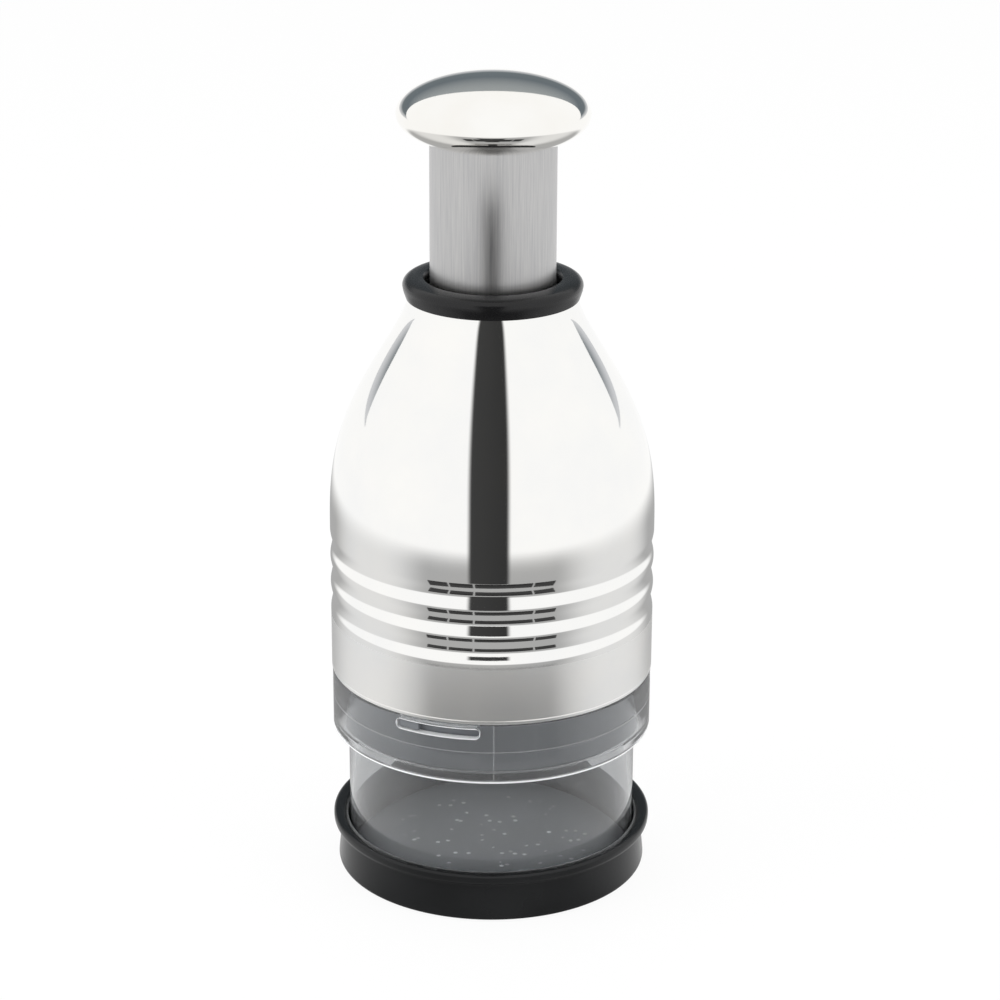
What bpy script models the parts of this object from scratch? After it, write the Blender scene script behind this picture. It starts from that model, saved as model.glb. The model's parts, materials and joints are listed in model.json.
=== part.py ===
"""Onion chopper: a push-down chopper with a steel housing, a clear cup and a black base.

Lengths are in metres and +Z is up. The origin is the centre of the rubber foot's underside,
so the chopper stands on the plane Z = 0. The plunger is up, as it rests on its spring.
Each piece is one object. Pieces that move together hang from one empty on their axis.
"""
import math

import bmesh
import bpy
from mathutils import Matrix, Vector

# Fits between pieces
GAP = 0.0003            # between pieces that are seated on each other
RUN = 0.0004            # round pieces that slide or turn in each other
OVERRUN = 0.0015        # how far a cutter runs past what it cuts

# Facets round a turned piece
LARGE_SIDES = 36
MEDIUM_SIDES = 24
SMALL_SIDES = 16
PIN_SIDES = 8

# The stroke of the plunger and the turn of the blade over it
STROKE = 0.036
INDEX_ANGLE = math.radians(30)

# Clear cup: a chopping chamber below, a wider socket above
CUP_RADIUS = 0.0394
CUP_WALL = 0.002
CUP_STEP = 0.0019       # how much wider the housing's liner is than the chamber
SOCKET_WALL = 0.002
SHOULDER_THICKNESS = 0.0021
CUP_EDGE = 0.0007
SLOT_HEIGHT = 0.0027
SLOT_ROUND_SHARE = 0.45     # of the slot's height, for the rounding of its ends
SLOT_ROUND_STEPS = 2
SLOT_DROP = 0.0015      # from the shell's edge to the slot's upper side
SLOT_ARC = math.radians(31)
SLOT_START = math.radians(-125)
BAYONETS = 3
ARC_STEP = math.radians(7)  # of the blocks that follow a round wall

# Black base
BASE_WALL = 0.0019
BASE_FLARE = 0.0011     # how much wider the base is at its foot than under the lip
BASE_HEIGHT = 0.0146
BASE_FLOOR = 0.0026
BASE_CORNER = 0.0014
LIP_PROUD = 0.0023
LIP_ROUND = 0.0008
LIP_HEIGHT = 0.0032
LIP_SLOPE = 0.0012      # how far the lip's top falls towards the cup
FOOT_WIDTH = 0.004
FOOT_HEIGHT = 0.0018
FOOT_PROUD = 0.0005
FOOT_INSET = 0.0045

# Chopping disc in the base
DISC_THICKNESS = 0.0025
DISC_MARGIN = 0.0008
DISC_EDGE = 0.0005

# Wiper plate that the blade passes through
BLADE_STOP = 0.0006     # from the blade to the disc when the plunger is down
WIPER_THICKNESS = 0.003
WIPER_BOSS = 0.0019     # how deep the plate reaches into the chamber
WIPER_FLANGE = 0.0022
WIPER_RIM = 0.005
WIPER_RIM_WALL = 0.0018
WIPER_SLOT_CLEARANCE = 0.0004

# Zigzag blade
BLADE_THICKNESS = 0.0006
BLADE_MARGIN = 0.0062   # from the circle that the folds touch to the chamber's wall
BLADE_FOLDS = 7
BLADE_SPREAD_SHARE = 0.87
BLADE_FOLD_RADIUS = 0.0014
BLADE_FOLD_STEPS = 3
BLADE_BEVEL = 0.0016    # height of the ground edge
BLADE_EDGE = 0.00015

# Blade carrier, with the clamp plate under it
CARRIER_STOP = 0.0014   # from the clamp to the wiper when the plunger is down
CLAMP_THICKNESS = 0.003
CARRIER_CLEARANCE = 0.0028  # from the carrier's edge to the liner
CARRIER_THICKNESS = 0.0032
CARRIER_HUB_HEIGHT = 0.0018
CARRIER_HUB_WALL = 0.0042
CARRIER_LEDGE = 0.0019  # height of the ledge that the drive tube stands on
CLAMP_SCREWS = 3
CLAMP_SCREW_INSET = 0.0027  # from the carrier's edge to the screws' axes
CLAMP_WEB = 0.0003      # left between the clamp's middle hole and the blade's slot
CLAMP_SCREW_TURN = math.radians(23)
SCREW_SHANK = 0.0012
SCREW_HEAD = 0.0021
SCREW_HEAD_HEIGHT = 0.0013
SCREW_SOCKET = 0.001
SCREW_SOCKET_DEPTH = 0.0007
SCREW_BITE = 0.002      # how far a screw stops short of the far side of what it holds

# Rod that carries the blade carrier, with its screw and washer
ROD_FLANGE_WIDTH = 0.003
ROD_FLANGE_HEIGHT = 0.0012
ROD_SOCKET_DEPTH = 0.0035
WASHER_RADIUS = 0.0076
WASHER_THICKNESS = 0.0012
END_SCREW_HEAD_HEIGHT = 0.0022
END_SCREW_SHANK_SHARE = 0.66    # of the head's radius
END_SCREW_LENGTH = 0.012

# Drive tube and index ring, which mesh in a ring of ratchet teeth
DRIVE_SHARE = 0.763     # the drive tube's radius as a share of its crown's
DRIVE_BORE_SHARE = 0.6  # its bore as a share of its own radius
KEY_WIDTH = 0.003
KEYS = 4
CROWN_HEIGHT = 0.004
TOOTH_HEIGHT = 0.0018
TEETH = 12
TOOTH_SHIFT = math.radians(11)
RING_HEIGHT = 0.0042
LUG_WIDTH = 0.0036
LUG_HEIGHT = 0.0034
LUGS = 3
WAVE_THICKNESS = 0.0004
WAVE_HEIGHT = 0.0003
WAVES = 3

# Cam post with its helical slots, and the spring seat on it
POST_WALL = 0.002
POST_CLEARANCE = 0.00173    # from the post to the tube that slides down over it
POST_END = 0.003        # from the ends of the lugs' travel to the ends of the post
POST_FLANGE_WIDTH = 0.0068
POST_FLANGE_HEIGHT = 0.002
POST_SCREWS = 3
SLOT_STEPS = 7
SEAT_THICKNESS = 0.0015

# Liner of the housing, with the spider that holds the cam post
LINER_WALL = 0.002
LINER_SKIRT = 0.0088    # how far the liner reaches below the shell
LINER_BAND_HEIGHT = 0.003
LINER_BAND_DROP = 0.0003
LINER_TOP_WALL = 0.001  # how far the liner stands above the spider
SPIDER_THICKNESS = 0.003
SPIDER_CLEARANCE = 0.0007
SPIDER_RING_WIDTH = 0.0075
SPIDER_ARMS = 3
SPIDER_ARM_WIDTH = 0.009
LUG_SEAT = 0.0006       # what the bayonet lug is set back from the slot's mouth
BAYONET_ARC = math.radians(8)

# Steel shell, drawn from thin sheet with three rolled grooves
SHELL_WALL = 0.0007
SHELL_CLEARANCE = 0.0012    # from the liner to the bottom of the grooves
GROOVE_DEPTH = 0.0006
GROOVE_PITCH = 0.0077
GROOVES = 3
GROOVE_STEPS = 4
DOME_SETBACK = 0.0013   # from the liner's top to the foot of the dome
DOME_HEIGHT = 0.0647
DOME_STEPS = 8
DOME_POWER = 2.72       # exponents of the shoulder's curve
NECK_POWER = 1.667

# Collar, bush and nut in the neck
COLLAR_OVERHANG = 0.00139   # how far the collar stands out past the neck
COLLAR_HEIGHT = 0.0046
COLLAR_RIDGE_WIDTH = 0.0022
COLLAR_ROLL_START = math.radians(75)    # where its round rim begins, above the level
COLLAR_BORE_STEP = 0.0005
COLLAR_SPIGOT_WALL = 0.0012
COLLAR_SPIGOT_DEPTH = 0.0082
BUSH_WALL = 0.00165
BUSH_HEIGHT = 0.004
BUSH_DROP = 0.003       # from the collar's crest to the bush
NUT_HEIGHT = 0.0045
NUT_WALL = 0.00098

# Plunger tube with its stop ring
TUBE_RADIUS = 0.01663
TUBE_WALL = 0.0007
TUBE_TUCK = 0.002       # how far the tube stands up inside the knob
STOP_HEIGHT = 0.003
STOP_LIP = 0.0016
STOP_MARGIN = 0.0003

# Push knob: a pressed steel cap on a moulded hub
KNOB_RADIUS = 0.0253
KNOB_CROWN = 0.0104     # height of the cap above its widest line
KNOB_UNDER = 0.0096     # half height of the ellipse below that line
KNOB_WALL = 0.0009
KNOB_CROWN_STEPS = 6
KNOB_UNDER_STEPS = 3
HUB_FLANGE = 0.003
HUB_PLUG = 0.0067
BUMP = 0.0003           # left between the knob and the collar when it is down

# Return spring
SPRING_WIRE = 0.0013
SPRING_RADIUS = 0.0105
SPRING_TURNS = 7
SPRING_DEAD_TURNS = 1
SPRING_DEAD_GAP = 0.0005
SPRING_TURN_POINTS = 9

# Heights, from the foot upwards
base_bottom = FOOT_PROUD
floor_top = base_bottom + BASE_FLOOR
cup_foot = floor_top + GAP
disc_top = cup_foot + DISC_THICKNESS
blade_bottom = disc_top + BLADE_STOP + STROKE
wiper_seat = blade_bottom + WIPER_BOSS
wiper_top = wiper_seat + WIPER_FLANGE
shoulder_top = wiper_seat - GAP
shoulder_bottom = shoulder_top - SHOULDER_THICKNESS
liner_bottom = wiper_seat + WIPER_RIM + GAP
shell_bottom = liner_bottom + LINER_SKIRT
socket_top = shell_bottom - GAP
slot_top = shell_bottom - SLOT_DROP
clamp_bottom = wiper_top + CARRIER_STOP + STROKE
clamp_top = clamp_bottom + CLAMP_THICKNESS
carrier_bottom = clamp_top + GAP
carrier_top = carrier_bottom + CARRIER_THICKNESS
hub_top = carrier_top + CARRIER_HUB_HEIGHT
spider_bottom = hub_top + SPIDER_CLEARANCE
spider_top = spider_bottom + SPIDER_THICKNESS
liner_top = spider_top + LINER_TOP_WALL
dome_bottom = liner_top + DOME_SETBACK
shell_top = dome_bottom + DOME_HEIGHT
lug_low = spider_bottom + POST_END + LUG_HEIGHT / 2 + RUN
lug_rest = lug_low + STROKE
post_top = lug_rest + LUG_HEIGHT / 2 + RUN + POST_END
ring_bottom = lug_rest - RING_HEIGHT / 2
ring_top = ring_bottom + RING_HEIGHT
seat_bottom = post_top + GAP
seat_top = seat_bottom + SEAT_THICKNESS
collar_bottom = shell_top + GAP
collar_crest = collar_bottom + COLLAR_HEIGHT
bush_top = collar_crest - BUSH_DROP
bush_bottom = bush_top - BUSH_HEIGHT
knob_bottom = collar_crest + BUMP + STROKE
tube_top = knob_bottom + TUBE_TUCK
stop_top = bush_bottom - GAP
stop_bottom = stop_top - STOP_HEIGHT
tube_bottom = stop_bottom + GAP
hub_flange_bottom = tube_top + GAP
plug_bottom = tube_top - HUB_PLUG
rod_top = plug_bottom + ROD_SOCKET_DEPTH - GAP
ledge = carrier_bottom + CARRIER_LEDGE

# Radii that follow from the pieces inside
chamber_radius = CUP_RADIUS - CUP_WALL
liner_radius = CUP_RADIUS + CUP_STEP
liner_inside = liner_radius - LINER_WALL
socket_inside = liner_radius + GAP
socket_radius = socket_inside + SOCKET_WALL
shell_radius = liner_radius + SHELL_CLEARANCE + GROOVE_DEPTH + SHELL_WALL
base_inside = CUP_RADIUS + GAP
base_radius = base_inside + BASE_WALL
tube_inside = TUBE_RADIUS - TUBE_WALL
post_radius = tube_inside - POST_CLEARANCE
post_inside = post_radius - POST_WALL
ring_radius = post_inside - RUN
drive_radius = ring_radius * DRIVE_SHARE
key_proud = ring_radius - 2 * RUN - drive_radius
rotor_bore = drive_radius * DRIVE_BORE_SHARE
rod_radius = rotor_bore - RUN
rod_flange_radius = rod_radius + ROD_FLANGE_WIDTH
bush_inside = TUBE_RADIUS + RUN
bush_radius = bush_inside + BUSH_WALL
spigot_inside = bush_radius + GAP
spigot_radius = spigot_inside + COLLAR_SPIGOT_WALL
nut_radius = spigot_radius + GAP + NUT_WALL
neck_radius = nut_radius + GAP + SHELL_WALL
collar_radius = neck_radius + COLLAR_OVERHANG
knob_opening = TUBE_RADIUS + GAP
carrier_radius = liner_inside - CARRIER_CLEARANCE
clamp_screw_circle = carrier_radius - CLAMP_SCREW_INSET
blade_reach = chamber_radius - BLADE_MARGIN
middle_leg = (blade_reach - BLADE_FOLD_RADIUS) * BLADE_SPREAD_SHARE / (BLADE_FOLDS - 1)
clamp_hole = middle_leg - BLADE_THICKNESS / 2 - GAP - CLAMP_WEB
end_screw_head = clamp_hole - RUN
end_screw_shank = end_screw_head * END_SCREW_SHANK_SHARE
under_angle = math.acos(knob_opening / KNOB_RADIUS)
knob_middle = knob_bottom + KNOB_UNDER * math.sin(under_angle)


# Scene and materials

def clear_scene():
    for thing in list(bpy.data.objects):
        bpy.data.objects.remove(thing, do_unlink=True)


def make_collection(name):
    collection = bpy.data.collections.new(name)
    bpy.context.scene.collection.children.link(collection)
    return collection


def material(name, colour, roughness, metallic=0.0, transmission=0.0):
    made = bpy.data.materials.new(name)
    made.use_nodes = True
    shader = made.node_tree.nodes["Principled BSDF"]
    shader.inputs["Base Color"].default_value = (*colour, 1.0)
    shader.inputs["Roughness"].default_value = roughness
    shader.inputs["Metallic"].default_value = metallic
    shader.inputs["Transmission Weight"].default_value = transmission
    made.diffuse_color = (*colour, 1.0)
    return made


clear_scene()
PARTS = make_collection("onion_chopper")
CUTTERS = make_collection("cutters")
POLISHED_STEEL = material("polished_steel", (0.80, 0.80, 0.79), 0.08, 1.0)
BRUSHED_STEEL = material("brushed_steel", (0.62, 0.62, 0.63), 0.28, 1.0)
BLADE_STEEL = material("blade_steel", (0.66, 0.66, 0.67), 0.2, 1.0)
SPRING_STEEL = material("spring_steel", (0.50, 0.50, 0.52), 0.3, 1.0)
CLEAR_PLASTIC = material("clear_plastic", (0.93, 0.95, 0.97), 0.05, 0.0, 0.9)
BLACK_PLASTIC = material("black_plastic", (0.018, 0.019, 0.020), 0.35)
BLACK_RUBBER = material("black_rubber", (0.015, 0.015, 0.015), 0.7)
GREY_PLASTIC = material("grey_plastic", (0.10, 0.105, 0.11), 0.45)
BOARD_PLASTIC = material("board_plastic", (0.09, 0.095, 0.10), 0.5)
PALE_PLASTIC = material("pale_plastic", (0.62, 0.62, 0.60), 0.45)


# Modelling helpers

def add_object(name, mesh, finish, collection=None):
    made = bpy.data.objects.new(name, mesh)
    (collection or PARTS).objects.link(made)
    if finish is not None:
        mesh.materials.append(finish)
    return made


def cutter(thing):
    thing.hide_render = True
    thing.display_type = "WIRE"
    return thing


def turned(name, outline, finish, sides, closed=True, collection=None):
    """A turned piece. The outline's (radius, height) points run down its outer side first.
    A closed outline comes back up the bore. An open one starts and ends on the axis."""
    mesh = bpy.data.meshes.new(name)
    points = [(radius, 0.0, height) for radius, height in outline]
    edges = [(i, i + 1) for i in range(len(points) - 1)]
    if closed:
        edges.append((len(points) - 1, 0))
    mesh.from_pydata(points, edges, [])
    made = add_object(name, mesh, finish, collection)
    screw = made.modifiers.new("Turn", "SCREW")
    screw.steps = sides
    screw.render_steps = sides
    screw.use_merge_vertices = True
    screw.merge_threshold = 0.00001
    screw.use_smooth_shade = True
    return made


def disc(name, radius, bottom, top, finish, sides, collection=None):
    outline = [(0, top), (radius, top), (radius, bottom), (0, bottom)]
    return turned(name, outline, finish, sides, False, collection)


def ring(name, radius, bore, bottom, top, finish, sides, collection=None):
    outline = [(radius, top), (radius, bottom), (bore, bottom), (bore, top)]
    return turned(name, outline, finish, sides, True, collection)


def box(name, size, centre, finish, turn=0.0, collection=None):
    """A block of the given size, moved out to its centre and then turned about the axis."""
    mesh = bpy.data.meshes.new(name)
    shape = bmesh.new()
    bmesh.ops.create_cube(shape, size=1.0)
    bmesh.ops.scale(shape, vec=Vector(size), verts=shape.verts)
    bmesh.ops.translate(shape, vec=Vector(centre), verts=shape.verts)
    bmesh.ops.rotate(shape, cent=(0, 0, 0), matrix=Matrix.Rotation(turn, 3, "Z"), verts=shape.verts)
    shape.to_mesh(mesh)
    shape.free()
    return add_object(name, mesh, finish, collection)


def swept_sector(name, inner, outer, arc, middle, bottom, top, turn, steps, collection=None):
    """A block between two radii, as wide as an arc, that turns about the axis as it rises."""
    mesh = bpy.data.meshes.new(name)
    shape = bmesh.new()
    corners = []
    for radius, angle in ((inner, -arc / 2), (outer, -arc / 2), (outer, arc / 2), (inner, arc / 2)):
        across = middle + angle * outer / radius
        corners.append(shape.verts.new((*polar(radius, across), bottom)))
    floor = shape.faces.new(corners)
    bmesh.ops.spin(
        shape, geom=[floor], cent=(0, 0, 0), axis=(0, 0, 1), dvec=(0, 0, (top - bottom) / steps),
        angle=turn, steps=steps, use_duplicate=False)
    bmesh.ops.recalc_face_normals(shape, faces=shape.faces)
    shape.to_mesh(mesh)
    shape.free()
    return add_object(name, mesh, None, collection)


def arc_block(name, inner, outer, start, arc, bottom, top, end_round=0.0):
    """A block that follows the wall of a round piece over an arc. Its ends are rounded by a radius,
    if one is given, in the wall's own surface."""
    mesh = bpy.data.meshes.new(name)
    shape = bmesh.new()
    steps = max(2, round(arc / ARC_STEP))
    section = shape.faces.new([
        shape.verts.new((*polar(radius, start), height))
        for radius, height in ((inner, bottom), (outer, bottom), (outer, top), (inner, top))])
    bmesh.ops.spin(
        shape, geom=[section], cent=(0, 0, 0), axis=(0, 0, 1), angle=arc, steps=steps,
        use_duplicate=False)
    bmesh.ops.recalc_face_normals(shape, faces=shape.faces)
    if end_round:
        ends = [face for face in shape.faces if abs(face.normal.z) + abs(face.normal.dot(
            face.calc_center_median().normalized())) < 1 / 2]
        crossing = [
            edge for face in ends for edge in face.edges
            if abs(edge.verts[0].co.xy.length - edge.verts[1].co.xy.length) > (outer - inner) / 2]
        bmesh.ops.bevel(
            shape, geom=crossing, offset=end_round, offset_type="OFFSET", affect="EDGES",
            segments=SLOT_ROUND_STEPS, profile=0.5, material=-1)
    shape.to_mesh(mesh)
    shape.free()
    return add_object(name, mesh, None, CUTTERS)


def boolean(piece, other, operation):
    step = piece.modifiers.new(operation.title(), "BOOLEAN")
    step.operation = operation
    step.solver = "EXACT"
    step.object = other
    return piece


def cut(piece, *tools):
    for tool in tools:
        boolean(piece, cutter(tool), "DIFFERENCE")
    return piece


def fuse(piece, *others):
    for other in others:
        boolean(piece, cutter(other), "UNION")
    return piece


def round_points(centre_radius, centre_height, across, up, first, last, steps):
    """Points of an elliptical arc in a turned outline, from one angle to another."""
    points = []
    for step in range(steps + 1):
        angle = first + (last - first) * step / steps
        points.append((centre_radius + across * math.cos(angle), centre_height + up * math.sin(angle)))
    return points


def polar(radius, angle):
    return radius * math.cos(angle), radius * math.sin(angle)


# Base: black dish, rubber foot ring and chopping disc

def make_base():
    lip_top = base_bottom + BASE_HEIGHT - FOOT_PROUD
    lip_bottom = lip_top - LIP_HEIGHT
    lip_radius = base_radius + LIP_PROUD
    outline = [(0, floor_top), (base_inside, floor_top), (base_inside, lip_top - LIP_SLOPE)]
    outline += round_points(
        lip_radius - LIP_ROUND, lip_top - LIP_ROUND, LIP_ROUND, LIP_ROUND, math.pi / 2, 0, 2)
    outline += [(lip_radius, lip_bottom + LIP_ROUND), (base_radius, lip_bottom)]
    foot_radius = base_radius + BASE_FLARE
    outline += round_points(
        foot_radius - BASE_CORNER, base_bottom + BASE_CORNER, BASE_CORNER, BASE_CORNER,
        0, -math.pi / 2, 3)
    foot_outside = foot_radius - FOOT_INSET
    foot_inside = foot_outside - FOOT_WIDTH
    groove_top = FOOT_HEIGHT + GAP
    outline += [(foot_outside + GAP, base_bottom), (foot_outside + GAP, groove_top)]
    outline += [(foot_inside - GAP, groove_top), (foot_inside - GAP, base_bottom)]
    outline += [(0, base_bottom)]
    turned("base_dish", outline, BLACK_PLASTIC, LARGE_SIDES, False)
    ring("foot_ring", foot_outside, foot_inside, 0, FOOT_HEIGHT, BLACK_RUBBER, LARGE_SIDES)
    disc_radius = chamber_radius - DISC_MARGIN
    outline = [(0, disc_top), (disc_radius - DISC_EDGE, disc_top), (disc_radius, disc_top - DISC_EDGE)]
    outline += [(disc_radius, cup_foot), (0, cup_foot)]
    turned("chopping_disc", outline, BOARD_PLASTIC, LARGE_SIDES, False)


# Clear cup with its bayonet slots

def make_cup():
    outline = [
        (socket_radius - CUP_EDGE, socket_top), (socket_radius, socket_top - CUP_EDGE),
        (socket_radius, shoulder_bottom + CUP_EDGE), (socket_radius - CUP_EDGE, shoulder_bottom),
        (CUP_RADIUS, shoulder_bottom), (CUP_RADIUS, cup_foot + CUP_EDGE),
        (CUP_RADIUS - CUP_EDGE, cup_foot), (chamber_radius, cup_foot),
        (chamber_radius, shoulder_top), (socket_inside, shoulder_top), (socket_inside, socket_top)]
    cup = turned("clear_cup", outline, CLEAR_PLASTIC, LARGE_SIDES)
    for index in range(BAYONETS):
        turn = 2 * math.pi * index / BAYONETS
        slot = arc_block(
            f"bayonet_slot_{index}", socket_inside - OVERRUN, socket_radius + OVERRUN,
            SLOT_START + turn, SLOT_ARC, slot_top - SLOT_HEIGHT, slot_top,
            SLOT_HEIGHT * SLOT_ROUND_SHARE)
        cut(cup, slot)


# Wiper plate, zigzag blade and what carries it

def zigzag_path():
    """The blade seen from above: straight legs that turn back round folds on a circle."""
    reach = blade_reach - BLADE_FOLD_RADIUS
    folds = []
    for index in range(BLADE_FOLDS):
        across = reach * BLADE_SPREAD_SHARE * (2 * index / (BLADE_FOLDS - 1) - 1)
        along = math.sqrt(reach ** 2 - across ** 2)
        folds.append(Vector((across, along if index % 2 else -along)))
    normals = []
    for index in range(BLADE_FOLDS - 1):
        leg = folds[index + 1] - folds[index]
        lean = math.acos(2 * BLADE_FOLD_RADIUS / leg.length)
        turn = Matrix.Rotation(lean if index % 2 else -lean, 2)
        normals.append(BLADE_FOLD_RADIUS * (turn @ leg.normalized()))
    path = [folds[0] + normals[0]]
    for index in range(1, BLADE_FOLDS - 1):
        arrive = -normals[index - 1]
        sweep = arrive.angle(normals[index])
        if index % 2:
            sweep = -sweep
        for step in range(BLADE_FOLD_STEPS + 1):
            turn = Matrix.Rotation(sweep * step / BLADE_FOLD_STEPS, 2)
            path.append(folds[index] + turn @ arrive)
    path.append(folds[-1] - normals[-1])
    return path


def ribbon(name, thickness, levels, edge_share=1.0, finish=None, collection=None):
    """An upright strip along the zigzag path, with its lowest edge thinned to a share."""
    mesh = bpy.data.meshes.new(name)
    shape = bmesh.new()
    points = [shape.verts.new((*point, levels[0])) for point in zigzag_path()]
    edges = [shape.edges.new(pair) for pair in zip(points, points[1:])]
    for low, high in zip(levels, levels[1:]):
        raised = bmesh.ops.extrude_edge_only(shape, edges=edges)
        lifted = [item for item in raised["geom"] if isinstance(item, bmesh.types.BMVert)]
        edges = [item for item in raised["geom"] if isinstance(item, bmesh.types.BMEdge)]
        bmesh.ops.translate(shape, vec=(0, 0, high - low), verts=lifted)
    shape.to_mesh(mesh)
    shape.free()
    made = add_object(name, mesh, finish, collection)
    full = made.vertex_groups.new(name="thickness")
    for vertex in mesh.vertices:
        lowest = vertex.index < len(points)
        full.add([vertex.index], edge_share if lowest else 1.0, "REPLACE")
    wall = made.modifiers.new("Thickness", "SOLIDIFY")
    wall.thickness = thickness
    wall.offset = 0
    wall.use_even_offset = True
    wall.vertex_group = full.name
    return made


def make_wiper():
    outside = socket_inside - RUN
    inside = outside - WIPER_RIM_WALL
    boss = chamber_radius - GAP
    plate_top = blade_bottom + WIPER_THICKNESS
    outline = [
        (0, plate_top), (inside - WIPER_FLANGE, plate_top), (inside, wiper_top),
        (inside, wiper_seat + WIPER_RIM), (outside, wiper_seat + WIPER_RIM), (outside, wiper_seat),
        (boss, wiper_seat), (boss, blade_bottom), (0, blade_bottom)]
    wiper = turned("wiper_plate", outline, GREY_PLASTIC, LARGE_SIDES, False)
    slot = ribbon(
        "wiper_slot", BLADE_THICKNESS + 2 * WIPER_SLOT_CLEARANCE,
        (blade_bottom - OVERRUN, plate_top + OVERRUN), collection=CUTTERS)
    cut(wiper, slot)


def make_blade():
    levels = (blade_bottom, blade_bottom + BLADE_BEVEL, clamp_top)
    ribbon("zigzag_blade", BLADE_THICKNESS, levels, BLADE_EDGE / BLADE_THICKNESS, BLADE_STEEL)


def pan_head_screw(name, place, head_bottom, head_top, shank_end, head_radius, shank_radius):
    """A screw on an upright axis: a round head with a recess, and a plain shank."""
    over = head_top > shank_end
    out = head_top - SCREW_SOCKET_DEPTH if over else head_top + SCREW_SOCKET_DEPTH
    outline = [
        (0, out), (SCREW_SOCKET, out), (SCREW_SOCKET, head_top), (head_radius, head_top),
        (head_radius, head_bottom), (shank_radius, head_bottom), (shank_radius, shank_end),
        (0, shank_end)]
    if not over:
        outline.reverse()
    screw = turned(name, outline, BRUSHED_STEEL, PIN_SIDES, False)
    screw.location = (*place, 0)


def make_carrier():
    """The clamp plate holds the blade's top in its zigzag slot, and the carrier closes it."""
    clamp = ring(
        "blade_clamp", carrier_radius, clamp_hole, clamp_bottom, clamp_top, GREY_PLASTIC, MEDIUM_SIDES)
    cut(clamp, ribbon(
        "clamp_slot", BLADE_THICKNESS + 2 * GAP, (clamp_bottom - OVERRUN, clamp_top + OVERRUN),
        collection=CUTTERS))
    hub_bore = drive_radius + GAP
    hub_radius = hub_bore + CARRIER_HUB_WALL
    washer_recess = carrier_bottom + WASHER_THICKNESS + GAP
    outline = [
        (hub_radius, hub_top), (hub_radius, carrier_top), (carrier_radius, carrier_top),
        (carrier_radius, carrier_bottom), (WASHER_RADIUS + GAP, carrier_bottom),
        (WASHER_RADIUS + GAP, washer_recess), (rotor_bore, washer_recess), (rotor_bore, ledge),
        (hub_bore, ledge), (hub_bore, hub_top)]
    carrier = turned("blade_carrier", outline, GREY_PLASTIC, MEDIUM_SIDES)
    for index in range(KEYS):
        angle = 2 * math.pi * index / KEYS
        size = (key_proud + OVERRUN, KEY_WIDTH + 2 * GAP, hub_top - ledge + OVERRUN)
        centre = (drive_radius + (key_proud + GAP - OVERRUN) / 2 + GAP / 2, 0,
                  (ledge + hub_top + OVERRUN) / 2)
        cut(carrier, box(f"key_notch_{index}", size, centre, None, angle, CUTTERS))
    for index in range(CLAMP_SCREWS):
        place = polar(clamp_screw_circle, CLAMP_SCREW_TURN + 2 * math.pi * index / CLAMP_SCREWS)
        hole = disc(
            f"clamp_screw_hole_{index}", SCREW_SHANK + GAP, clamp_bottom + SCREW_BITE / 2,
            carrier_top + OVERRUN, None, PIN_SIDES, CUTTERS)
        hole.location = (*place, 0)
        cut(carrier, hole)
        cut(clamp, hole)
        pan_head_screw(
            f"clamp_screw_{index + 1}", place, carrier_top + GAP,
            carrier_top + GAP + SCREW_HEAD_HEIGHT, clamp_bottom + SCREW_BITE / 2 + GAP,
            SCREW_HEAD, SCREW_SHANK)


# Ratchet between the drive tube and the index ring

def tooth_ring(name, low, flat, shift):
    """A ring with saw teeth on one side, which cuts the other piece's teeth. Each tooth rises
    from low along its arc and ends in an upright face. The other side is flat."""
    pitch = 2 * math.pi / TEETH
    high = low + TOOTH_HEIGHT
    shape = bmesh.new()
    rails = []
    for radius in (rotor_bore - OVERRUN, ring_radius + OVERRUN):
        rail = []
        for index in range(TEETH):
            across, along = polar(radius, pitch * index + shift)
            rail.append([shape.verts.new((across, along, level)) for level in (flat, low, high)])
        rails.append(rail)
    for index in range(TEETH):
        sides = []
        for rail in rails:
            base, root, tip = rail[index]
            next_base, next_root, next_tip = rail[(index + 1) % TEETH]
            if flat < low:
                sides.append((base, root, next_tip, next_root, next_base))
            else:
                sides.append((base, tip, root, next_tip, next_base))
        inner, outer = sides
        shape.faces.new(inner)
        shape.faces.new(outer)
        for first, second in ((1, 2), (2, 3), (4, 0)):
            shape.faces.new((inner[first], inner[second], outer[second]))
            shape.faces.new((inner[first], outer[second], outer[first]))
    bmesh.ops.recalc_face_normals(shape, faces=shape.faces)
    mesh = bpy.data.meshes.new(name)
    shape.to_mesh(mesh)
    shape.free()
    return add_object(name, mesh, None, CUTTERS)


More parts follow.
